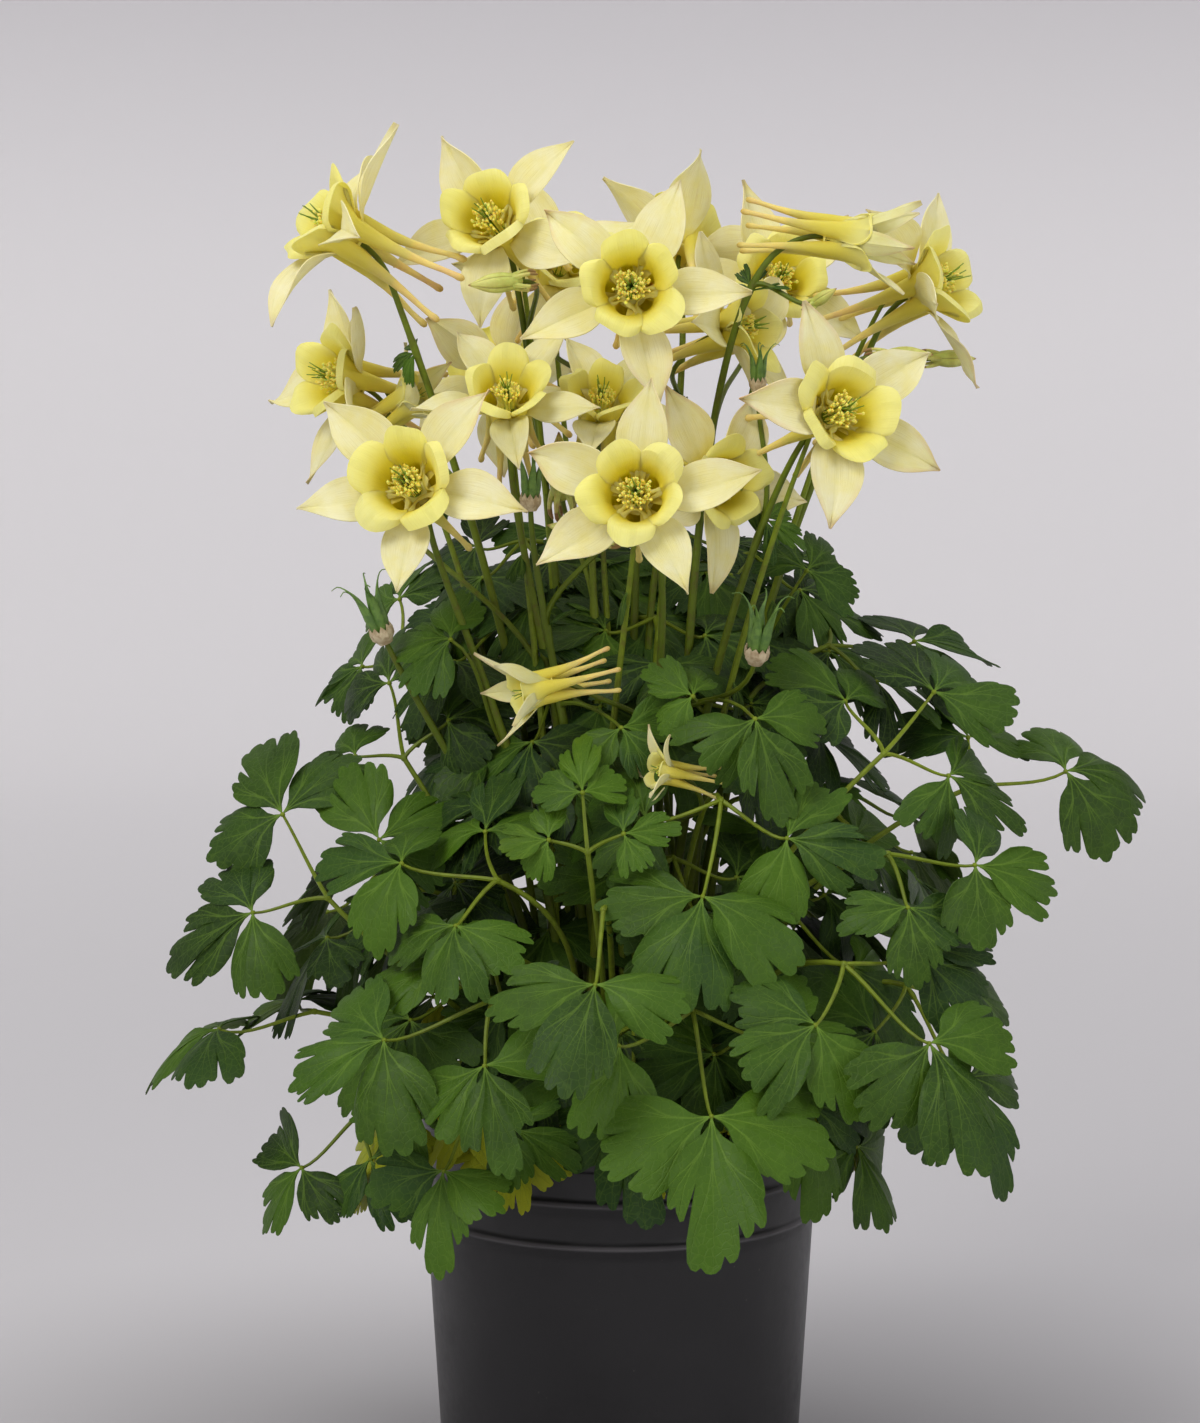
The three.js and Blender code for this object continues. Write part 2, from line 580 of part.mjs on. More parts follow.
// Two rows and a tip, spreading as the flower opens.
function sepal(turn, a, b, open, add, triangles) {
  const { near, far, lean, sepal: length } = BLOOM;
  const tilt = rad(mix(lean.shut, lean.open, open));
  const narrow = mix(BLOOM.narrow, 1, open);
  const spot = (share, half, lift) => {
    const radius = BLOOM.hub + Math.sin(tilt) * length * share;
    const aside = half * narrow;
    const swing = THREE.MathUtils.radToDeg(Math.atan2(aside, radius));
    return add(turn + swing, Math.hypot(radius, aside), Math.cos(tilt) * length * share + lift);
  };
  const [c, d] = [-1, 1].map((side) => spot(near.share, side * near.half, near.cup));
  const [e, f] = [-1, 1].map((side) => spot(far.share, side * far.half, 0));
  const tip = spot(1, 0, -BLOOM.droop);
  triangles.push([a, c, d], [b, a, d], [c, e, f], [c, f, d], [e, tip, f]);
}

function spur(body, ring, turn, place, axis, open) {
  const { reach, flare, knee, width } = BLOOM.spur;
  const back = axis.clone().negate();
  const neck = body.draw(ring, place(turn, knee, -knee), width, back, back);
  body.point(neck, place(turn, knee + flare * mix(0.5, 1, open), -reach));
}

// The middle of the flower: a ragged ring of stamens with the styles standing out of it.
function crown(rim, roll, place) {
  const { radius, depth } = BLOOM.stamens;
  const points = [0, 1, 2, 3, 4].map((k) => place(roll + 36 + 72 * k, radius, depth));
  points.push(place(0, 0, BLOOM.styles));
  const triangles = [0, 1, 2, 3, 4].flatMap((k) => {
    const [a, b, c] = [2 * k, 2 * k + 1, (2 * k + 2) % 10];
    const [here, before] = [10 + k, 10 + ((k + 4) % 5)];
    return [[a, b, before], [b, here, before], [b, c, here], [before, here, 15]];
  });
  return { rim, points, triangles, below: false };
}

function receptacle(rim, place) {
  const triangles = rim.map((i) => [i, (i + 1) % 10, 10]);
  return { rim, points: [place(0, 0, -BLOOM.receptacle)], triangles, below: true };
}

// ---------------------------------------------------------------- flowering stems
// A closed bud: five sides that swell and come to a point, with short spurs behind.
function bud(at, axis, size) {
  const scale = size / BUD.length;
  const frame = frameOf(axis);
  const ring = (radius, depth, turn) =>
    Array.from({ length: 5 }, (_, k) =>
      along(at, [clockwise(frame, turn + 72 * k), radius * scale], [axis, depth * scale]),
    );
  const points = [
    along(at, [axis, -2]),
    ...ring(BUD.radius * 0.8, -4, 0),
    ...ring(BUD.radius, 6, 36),
    ...ring(BUD.radius * 0.6, 14, 0),
    along(at, [axis, BUD.length * scale]),
  ];
  const body = new Body();
  body.add(points);
  for (let k = 0; k < 5; k++) {
    const j = (k + 1) % 5;
    body.faces.push([0, 1 + j, 1 + k], [1 + k, 1 + j, 6 + k], [1 + j, 6 + j, 6 + k]);
    body.faces.push([6 + k, 6 + j, 11 + k], [6 + j, 11 + j, 11 + k], [11 + k, 11 + j, 16]);
  }
  return body.solid();
}

// Five upright follicles that end in thin curling styles.
function seedHead(at, axis, size) {
  const scale = size / SEED.length;
  const frame = frameOf(axis);
  return join(
    Array.from({ length: 5 }, (_, k) => {
      const out = clockwise(frame, 72 * k);
      const spot = (radius, depth) => along(at, [out, radius * scale], [axis, depth * scale]);
      return tube([spot(0.8, -2), spot(3.6, 11), spot(SEED.spread + 3, SEED.length)], 2.4, 0.5, 3);
    }),
  );
}

// A small leaf cut into three lobes, on the stem itself.
function bract(at, heading, normal, size) {
  const place = sprayPlace(at, heading, normal, size);
  const turns = [-60, -45, -18, 0, 18, 45, 60];
  const shares = [0.5, 0.8, 0.5, 1, 0.5, 0.8, 0.5];
  const layer = [place(-90, 1), place(90, 1), place(0, size * 0.4)];
  const rim = turns.map((turn, i) => layer.push(place(turn, size * shares[i])) - 1);
  const round = [0, ...rim, 1, 0];
  const triangles = round.slice(1).map((v, i) => [2, round[i], v]);
  const body = new Body();
  body.sheet(layer, triangles, BLADE);
  return body.solid();
}

// The last points of a stalk, and the direction in which it reaches the first of them. Under a
// bloom it passes between the two spurs on the flower's lower side.
function ending(item) {
  if (!item.bloom) return { points: [vec(...item.at)], arrival: facing(item.face) };
  const { at, face, roll, size } = BLOOMS[item.bloom];
  const scale = size / BLOOM.sepal;
  const frame = frameOf(facing(face));
  const gaps = [0, 1, 2, 3, 4].map((k) => roll + 36 + 72 * k);
  const [lowest] = gaps.sort((a, b) => Math.sin(rad(a)) - Math.sin(rad(b)));
  const out = clockwise(frame, lowest);
  const end = along(vec(...at), [frame.n, -BLOOM.receptacle * scale - GAP]);
  const neck = along(end, [frame.n, -BLOOM.neck * scale]);
  const exit = along(end, [frame.n, -BLOOM.exit.depth * scale], [out, BLOOM.exit.radius * scale]);
  const arrival = along(frame.n, [out, -BLOOM.exit.slant]).normalize();
  return { points: [exit, neck, end], arrival };
}

function stem({ foot, tip, side = [], bracts = [], sprays = [] }) {
  const { points, arrival } = ending(tip);
  const lift = STEM.lift * (points[0].z - SOIL.top);
  const approach = along(points[0], [arrival, -STEM.bend]);
  const { curve, path } = rise(foot, lift, approach, points[0], STEM);
  const solids = [tube([...path, ...points.slice(1)], STEM.foot, STEM.head, 3)];
  for (const item of side) solids.push(branch(curve, item));
  for (const [share, turn, lean, clock, size] of bracts) {
    const frame = frameOf(facing([turn, lean]));
    solids.push(bract(curve.getPoint(share), clockwise(frame, clock), frame.n, size));
  }
  for (const plan of sprays) solids.push(stemSpray(curve.getPoint(plan.share), plan));
  for (const { head, at, face, size } of [tip, ...side]) {
    if (head === "bud") solids.push(bud(vec(...at), facing(face), size));
    if (head === "seed") solids.push(seedHead(vec(...at), facing(face), size));
  }
  return join(solids);
}

// A spray of three leaflets on a short stalk that grows from the stem itself.
function stemSpray(from, { at, face, clock, size }) {
  const frame = frameOf(facing(face));
  const body = new Body();
  const end = spray(body, vec(...at), clockwise(frame, clock), frame.n, size, from, PLAIN);
  const back = from.clone().sub(vec(...at)).normalize();
  const dive = along(back, [frame.n, -ELBOW.dive]).normalize();
  body.point(body.draw(end, from, 0.8, dive, back), along(from, [back, 1.5]));
  return body.solid();
}

// A branch leaves its stem along the stem's own direction.
function branch(curve, item) {
  const { points, arrival } = ending(item);
  const start = curve.getPoint(item.fork);
  const span = start.distanceTo(points[0]);
  const leave = along(start, [curve.getTangent(item.fork), BRANCH.leave * span]);
  const arrive = along(points[0], [arrival, -BRANCH.arrive * span]);
  const path = new THREE.CubicBezierCurve3(start, leave, arrive, points[0]).getPoints(BRANCH.steps);
  return tube([...path, ...points.slice(1)], STEM.branch, STEM.head, 3);
}

// ---------------------------------------------------------------- pot and soil
const innerRadius = (z) => mix(POT.footRadius, POT.bodyRadius, z / POT.height) - POT.wall;

function lathe(outline) {
  const points = outline.map(([r, z]) => new THREE.Vector2(r, z));
  return solidOf(new THREE.LatheGeometry(points, POT.sides).rotateX(Math.PI / 2));
}

// A plain prism of few sides standing on z0.
function prism(x, y, radius, z0, z1, sides) {
  const geometry = new THREE.CylinderGeometry(radius, radius, z1 - z0, sides);
  return solidOf(geometry.rotateX(Math.PI / 2).translate(x, y, (z0 + z1) / 2));
}

function pot() {
  const { height, rimRadius, bodyRadius, footRadius, floor, band, ringHalf, ringProud } = POT;
  const outer = (z) => mix(footRadius, bodyRadius, Math.min(1, z / (height - POT.rings[0])));
  const rings = POT.rings.flatMap((depth) => {
    const z = height - depth;
    return [[outer(z - ringHalf), z - ringHalf], [outer(z) + ringProud, z], [outer(z), z + ringHalf]];
  });
  const shell = lathe([
    [0, 0],
    [footRadius - 1.5, 0],
    [outer(1.5), 1.5],
    ...rings,
    [bodyRadius, height - band - 1],
    [rimRadius - 0.3, height - band],
    [rimRadius, height],
    [rimRadius - 2, height],
    [innerRadius(height), height - 3],
    [innerRadius(floor), floor],
    [0, floor],
  ]);
  const drains = Array.from({ length: POT.drains }, (_, k) => {
    const a = ((k + 0.5) / POT.drains) * 2 * Math.PI;
    const spot = [Math.cos(a) * POT.drainReach, Math.sin(a) * POT.drainReach];
    return prism(...spot, POT.drainRadius, -1, floor + 1, 6);
  });
  return drains.reduce((body, drain) => body.subtract(drain), shell);
}

function soil(feet) {
  const bottom = POT.floor + GAP;
  const body = lathe([
    [0, bottom],
    [innerRadius(bottom) - GAP, bottom],
    [innerRadius(SOIL.top) - GAP, SOIL.top],
    [0, SOIL.top + SOIL.dome],
  ]);
  const bottomOfHole = SOIL.top - SOIL.holeDepth;
  const holes = feet.map(([[x, y], radius]) => {
    const corner = (radius + GAP + 0.1) * 2; // a triangle's corners, twice as far out as its sides
    return prism(x, y, corner, bottomOfHole, SOIL.top + 10, 3);
  });
  return holes.reduce((ground, hole) => ground.subtract(hole), body);
}

// ---------------------------------------------------------------- the plant
const COLOURS = {
  pot: [0x222124, 0.42],
  soil: [0x2a211a, 0.95],
  leaf: [0x44612c, 0.6],
  stem: [0x6d8445, 0.6],
  bloom: [0xefe6a0, 0.55],
};
const plant = new THREE.Group();

function piece(name, solid, [colour, roughness]) {
  const material = new THREE.MeshStandardMaterial({ color: colour, roughness, metalness: 0 });
  const mesh = new THREE.Mesh(geometryOf(solid), material);
  mesh.name = name;
  plant.add(mesh);
}

const feet = [];
for (const name of Object.keys(LEAVES)) {
  const { solid, foot } = tuft(name);
  feet.push([foot, STALK.foot]);
  piece(name, solid, COLOURS.leaf);
}
for (const [name, plan] of Object.entries(STEMS)) {
  feet.push([plan.foot, STEM.foot]);
  piece(name, stem(plan), COLOURS.stem);
}
for (const [name, plan] of Object.entries(BLOOMS)) piece(name, bloom(plan), COLOURS.bloom);
piece("soil", soil(feet), COLOURS.soil);
piece("pot", pot(), COLOURS.pot);

export default plant;
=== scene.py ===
# A yellow long-spurred columbine in a black nursery pot, dressed for rendering. Shapes are worked
# out in millimetres, +Z up, from the CAD model's own plan, and are written to meshes in metres.
import math

import bpy
import numpy as np
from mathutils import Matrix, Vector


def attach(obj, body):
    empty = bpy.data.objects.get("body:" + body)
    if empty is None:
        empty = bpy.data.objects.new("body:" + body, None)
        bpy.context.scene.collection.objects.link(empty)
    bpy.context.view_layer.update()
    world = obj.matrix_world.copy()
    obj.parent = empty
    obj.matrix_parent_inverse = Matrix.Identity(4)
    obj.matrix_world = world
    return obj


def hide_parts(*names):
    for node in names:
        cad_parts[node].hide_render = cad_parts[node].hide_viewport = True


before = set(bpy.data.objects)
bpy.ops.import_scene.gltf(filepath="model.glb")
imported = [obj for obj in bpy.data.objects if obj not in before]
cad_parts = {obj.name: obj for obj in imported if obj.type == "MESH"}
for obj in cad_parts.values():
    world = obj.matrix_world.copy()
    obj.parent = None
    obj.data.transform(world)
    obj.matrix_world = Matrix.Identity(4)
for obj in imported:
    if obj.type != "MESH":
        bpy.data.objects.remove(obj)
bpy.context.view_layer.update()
MM = 0.001

# ---------------------------------------------------------------- driving dimensions
POT = dict(height=165, rim=82.5, body=80.2, foot=73, wall=1.6, floor=3, band=7, rings=(38, 21))
DRAINS = dict(count=4, radius=6, reach=48)
SOIL = dict(top=152, dome=3, hole=12)
GAP = 0.3  # clearance under a stalk and a bloom, and between the soil and the pot
BLADE = 0.5  # thickness of a leaflet
PETAL = 0.45  # thickness of a petal or sepal
STALK = dict(foot=1.5, fork=1.05, lift=0.45, least=12, bend=0.35, out=0.8, up=0.6)
CROWN = dict(heights=(175, 365), radii=(52, 32))
STEM = dict(foot=2.1, head=1.05, branch=1.2, lift=0.5, bend=40)
BRANCH = dict(leave=0.4, arrive=0.35)
BLOOM = dict(sepal=44, receptacle=3, neck=8, exit=(22, 9), slant=0.9)

# ---------------------------------------------------------------- the plant's plan
# As in the CAD model, but for what only the scene has. Leaves: where the stalk forks, the facing
# of its upper side (turned from the front towards +X, and raised), clock angle of the middle
# spray, leaflet length, and sprays.
ALL = (-1, 0, 1)
LEAVES = {
    "leaf_left_long": ((-116, -66, 265), (-22, 40), 130, 48, ALL),
    "leaf_left_upper": ((-88, -22, 316), (-30, 30), 115, 36, ALL),
    "leaf_left_top": ((-92, 26, 352), (-50, 40), 125, 36, ALL),
    "leaf_left_edge": ((-124, -35, 214), (-70, 70), 245, 42, (0, -1)),
    "leaf_front_left": ((-49, -123, 234), (-22, 45), 215, 46, ALL),
    "leaf_mid_left": ((-48, -95, 276), (-10, 48), 175, 40, ALL),
    "leaf_left_hanging": ((-104, -52, 176), (-40, 30), 240, 34, (0, 1)),
    "leaf_rim_left": ((-58, -96, 190), (-20, 35), 265, 34, ALL),
    "leaf_front_low": ((27, -122, 230), (8, 38), 272, 50, ALL),
    "leaf_front_middle": ((-7, -118, 268), (-5, 50), 270, 44, (0,)),
    "leaf_front_young": ((-13, -104, 288), (0, 26), 95, 24, ALL),
    "leaf_right_long": ((142, -30, 305), (25, 50), 2, 46, (0, 1)),
    "leaf_right_upper": ((104, -62, 322), (25, 42), 40, 42, ALL),
    "leaf_centre": ((39, -84, 306), (-4, 32), 262, 46, ALL),
    "leaf_mid_right": ((103, -92, 286), (16, 35), 345, 36, (0, -1)),
    "leaf_front_right": ((85, -112, 246), (20, 40), 300, 48, ALL),
    "leaf_right_hanging": ((114, -54, 228), (40, 30), 280, 46, ALL),
    "leaf_rim_right": ((76, -62, 194), (45, 30), 275, 36, (0, 1)),
    "leaf_right_top": ((86, 4, 360), (35, 60), 350, 42, ALL),
    "leaf_back_left": ((-95, 75, 265), (-125, 45), 280, 48, ALL),
    "leaf_back_upper": ((-30, 90, 320), (-170, 50), 285, 44, ALL),
    "leaf_back_middle": ((10, 122, 240), (175, 40), 270, 48, ALL),
    "leaf_back_right": ((100, 82, 290), (130, 45), 265, 48, ALL),
    "leaf_back_low": ((75, 92, 195), (140, 35), 275, 44, (0, -1)),
}
# An inner leaf grows from the foot of an outer one: the outer leaf, then fork, face, clock and
# length.
INNER = {
    "leaf_front_low": ((5, -72, 215), (0, 40), 270, 44),
    "leaf_mid_left": ((-50, -59, 240), (-34, 43), 240, 44),
    "leaf_left_top": ((-64, 16, 262), (-95, 40), 265, 44),
    "leaf_back_left": ((-55, 61, 215), (-139, 39), 270, 44),
    "leaf_back_upper": ((15, 77, 288), (170, 50), 300, 44),
    "leaf_back_middle": ((-20, 81, 215), (-169, 40), 265, 44),
    "leaf_back_right": ((72, 39, 249), (120, 49), 280, 44),
    "leaf_right_upper": ((62, -44, 262), (45, 40), 290, 44),
    "leaf_right_long": ((89, -10, 291), (87, 44), 280, 44),
}
# Leaves that only the scene has. They fill the clump, on stalks of their own from the soil.
FILLING = (
    ((-62, -50, 196), (-50, 40), 250, 40),
    ((-34, -62, 188), (-10, 40), 262, 30),
    ((10, -58, 190), (5, 42), 272, 28),
    ((62, -44, 194), (50, 40), 282, 32),
    ((-18, -58, 222), (-15, 44), 262, 38),
    ((53, -66, 215), (35, 40), 270, 42),
    ((82, -20, 232), (75, 40), 275, 42),
    ((50, 72, 240), (150, 42), 270, 42),
    ((21, -52, 279), (22, 54), 265, 40),
    ((-71, -4, 276), (-61, 42), 265, 42),
    ((-85, -14, 261), (-70, 54), 260, 42),
    ((-30, -34, 318), (-25, 50), 250, 38),
    ((30, -14, 338), (20, 48), 290, 38),
    ((4, 14, 352), (0, 55), 270, 38),
    ((52, 18, 340), (60, 45), 300, 38),
    ((-38, 20, 330), (-70, 50), 240, 38),
    ((0, 46, 330), (175, 50), 270, 38),
    ((62, -6, 300), (40, 50), 300, 40),
    ((-46, 10, 372), (-30, 50), 255, 36),
    ((-24, 34, 390), (-15, 58), 262, 36),
    ((8, 40, 388), (5, 54), 270, 36),
    ((36, 34, 382), (25, 50), 282, 36),
    ((60, 24, 374), (40, 50), 290, 36),
    ((14, -2, 372), (10, 50), 265, 34),
    ((-12, 62, 362), (180, 50), 270, 36),
    ((42, 60, 360), (155, 50), 275, 36),
    ((-52, 44, 352), (-140, 50), 265, 36),
    ((-26, -8, 344), (-20, 46), 270, 36),
    ((-20, 22, 262), (-6, 56), 262, 42),
    ((24, 26, 268), (8, 54), 276, 42),
    ((-4, 6, 226), (0, 58), 268, 40),
    ((-40, 38, 402), (-25, 52), 258, 32),
    ((-6, 52, 410), (0, 50), 268, 32),
    ((26, 50, 404), (15, 52), 276, 32),
    ((56, 46, 396), (30, 52), 284, 32),
)
# Blooms: middle, facing, roll, sepal length, and how far open.
BLOOMS = {
    "bloom_01": ((-81, -75, 427), (-14, 18), 20, 44, 1),
    "bloom_02": ((6, -95, 424), (-4, 14), 46, 43, 1),
    "bloom_03": ((82, -67, 455), (24, 12), 0, 44, 1),
    "bloom_04": ((4, -48, 504), (0, 8), 30, 44, 1),
    "bloom_05": ((-50, -10, 530), (-22, 26), 20, 42, 1),
    "bloom_06": ((-108, -36, 526), (-75, 30), 24, 44, 1),
    "bloom_07": ((-111, 8, 468), (-55, 15), 12, 42, 1),
    "bloom_08": ((-45, -40, 459), (-2, 40), 20, 38, 0.85),
    "bloom_09": ((-8, -12, 455), (4, 52), 6, 38, 0.85),
    "bloom_10": ((44, 5, 489), (62, 12), 0, 40, 0.9),
    "bloom_11": ((124, 12, 506), (62, 22), 20, 44, 1),
    "bloom_12": ((66, 50, 509), (10, 20), 0, 42, 1),
    "bloom_13": ((26, 66, 524), (170, 30), 0, 42, 0.9),
    "bloom_14": ((36, -34, 428), (36, 0), 20, 40, 1),
    "bloom_15": ((-25, 44, 516), (12, 30), 0, 42, 1),
    "bloom_16": ((-30, -70, 349), (-72, -12), 10, 28, 0.4),
    "bloom_17": ((-90, -2, 458), (60, 30), 10, 28, 0.35),
    "bloom_18": ((86, -20, 526), (80, -8), 10, 36, 0.2),
    "bloom_19": ((-50, 75, 470), (-150, 20), 0, 42, 1),
    "bloom_20": ((20, -80, 316), (-70, 14), 8, 20, 0.6),
}
FADING = "bloom_20"  # a spent bloom that only the scene has
# Stems: foot, then what the tip carries, (share, item) for each side branch, sprays (share,
# place, facing, clock, length) and bracts (share, facing, clock, length). An item is a bloom's
# name, or a head with its place, facing and size.
STEMS = {
    "stem_01": ((-19, -16), "bloom_01", (), ((0.5, (-68, -44, 366), (-20, 35), 165, 30),), ()),
    "stem_02": ((-27, -5), ("seed", (-95, -35, 366), (-60, 65), 26), (), (), ()),
    "stem_03": ((-24, 14), "bloom_06", ((0.6, "bloom_07"),), (), ((0.84, (-40, 30), 200, 18),)),
    "stem_04": (
        (-15, 3),
        "bloom_05",
        ((0.8, ("bud", (-43, -36, 508), (-80, -5), 18)),),
        ((0.42, (-62, 20, 350), (-40, 35), 170, 30),),
        (),
    ),
    "stem_05": ((-11, -4), "bloom_08", ((0.5, "bloom_17"),), (), ()),
    "stem_06": (
        (-7, -18),
        ("seed", (-36, -38, 419), (0, 85), 22),
        ((0.7, ("bud", (-10, -42, 408), (-80, 10), 20)),),
        ((0.56, (0, -70, 333), (-5, 35), 300, 26),),
        (),
    ),
    "stem_07": ((2, 3), "bloom_04", ((0.72, "bloom_15"),), (), ((0.7, (20, 40), 30, 16),)),
    "stem_08": ((-3, -8), "bloom_09", ((0.66, ("bud", (-24, -2, 425), (-10, 75), 24)),), (), ()),
    "stem_09": (
        (4, -20),
        "bloom_02",
        ((0.5, "bloom_16"), (0.34, "bloom_20")),
        ((0.58, (28, -76, 346), (0, 35), 150, 24),),
        (),
    ),
    "stem_10": ((6, 13), "bloom_13", ((0.74, "bloom_10"),), (), ()),
    "stem_11": (
        (23, -3),
        "bloom_18",
        ((0.6, "bloom_12"), (0.86, ("bud", (78, -27, 500), (60, 30), 11))),
        (),
        ((0.87, (-30, 30), 130, 14),),
    ),
    "stem_12": (
        (27, 6),
        "bloom_11",
        (
            (0.84, ("bud", (108, -22, 478), (82, 4), 18)),
            (0.8, ("bud", (132, 18, 478), (100, 0), 16)),
        ),
        ((0.42, (76, -14, 392), (25, 35), 45, 30),),
        (),
    ),
    "stem_13": (
        (16, -9),
        "bloom_03",
        ((0.76, ("seed", (55, -28, 466), (0, 85), 18)),),
        (),
        ((0.8, (30, 30), 330, 22),),
    ),
    "stem_14": (
        (11, -6),
        "bloom_14",
        ((0.45, ("seed", (53, -66, 360), (25, 70), 26)),),
        ((0.5, (52, -86, 338), (14, 30), 285, 38),),
        (),
    ),
    "stem_15": ((-7, 16), "bloom_19", (), ((0.5, (-30, 66, 370), (-160, 35), 250, 32),), ()),
}

# Slender stems that only the scene has: foot, and the bloom behind which each one ends.
SLENDER = (
    ((-24, -16), "bloom_08"),
    ((-13, -23), "bloom_02"),
    ((10, -21), "bloom_14"),
    ((21, -15), "bloom_03"),
    ((-30, 7), "bloom_07"),
    ((17, 11), "bloom_12"),
    ((-4, 21), "bloom_15"),
    ((31, -2), "bloom_11"),
    ((-20, 8), "bloom_05"),
    ((2, -27), "bloom_09"),
)

# ---------------------------------------------------------------- directions and curves
UP = np.array([0.0, 0.0, 1.0])


def vec(*numbers):
    return np.array(numbers, float)


def unit(v):
    return v / np.linalg.norm(v)


def mix(a, b, share):
    return a + (b - a) * share


def smooth(low, high, x):
    t = np.clip((x - low) / (high - low), 0, 1)
    return t * t * (3 - 2 * t)


def facing(turn, rise):
    turn, rise = math.radians(turn), math.radians(rise)
    flat = math.cos(rise)
    return vec(math.sin(turn) * flat, -math.cos(turn) * flat, math.sin(rise))


def frame_of(n):
    """The right, upward slope and normal of a surface that looks along n."""
    right = unit(vec(-n[1], n[0], 0))
    return right, np.cross(n, right), n


def around(count):
    return np.arange(count) / count * 2 * math.pi


def together(*values):
    """Three values for each point of a grid, side by side."""
    return np.stack(np.broadcast_arrays(*values), axis=-1)


def turned(radius, theta, z):
    """Points round +Z, at a radius and a height for each angle."""
    return together(radius * np.cos(theta), -radius * np.sin(theta), z)


def rotated(a, b, angle):
    c, s = math.cos(angle), math.sin(angle)
    return a * c - b * s, a * s + b * c


def placed(at, spots, axes):
    return at + spots[..., :1] * axes[0] + spots[..., 1:2] * axes[1] + spots[..., 2:] * axes[2]


def clockwise(axes, angle):
    return axes[0] * math.cos(math.radians(angle)) + axes[1] * math.sin(math.radians(angle))


def through(knots, values, at):
    """A smooth curve through the values at its knots."""
    knots, values, at = np.asarray(knots, float), np.asarray(values, float), np.asarray(at, float)
    slopes = np.gradient(values, knots, axis=0)
    i = np.clip(np.searchsorted(knots, at, side="right") - 1, 0, len(knots) - 2)
    width = knots[i + 1] - knots[i]
    t = np.clip((at - knots[i]) / width, 0, 1)
    if values.ndim > 1:
        t, width = t[..., None], width[..., None]
    a, b = values[i], values[i + 1]
    bend = t * (1 - t) * width
    return a + (b - a) * t * t * (3 - 2 * t) + bend * (slopes[i] * (1 - t) - slopes[i + 1] * t)


def on_curve(a, b, c, d, t):
    s = 1 - t
    return s**3 * a + 3 * s * s * t * b + 3 * s * t * t * c + t**3 * d


def bezier(a, b, c, d, count):
    return on_curve(a, b, c, d, np.linspace(0, 1, count)[:, None])


def bezier_at(a, b, c, d, t):
    """The point at a share of a curve, and the curve's direction there."""
    s = 1 - t
    return on_curve(a, b, c, d, t), unit(s * s * (b - a) + 2 * s * t * (c - b) + t * t * (d - c))


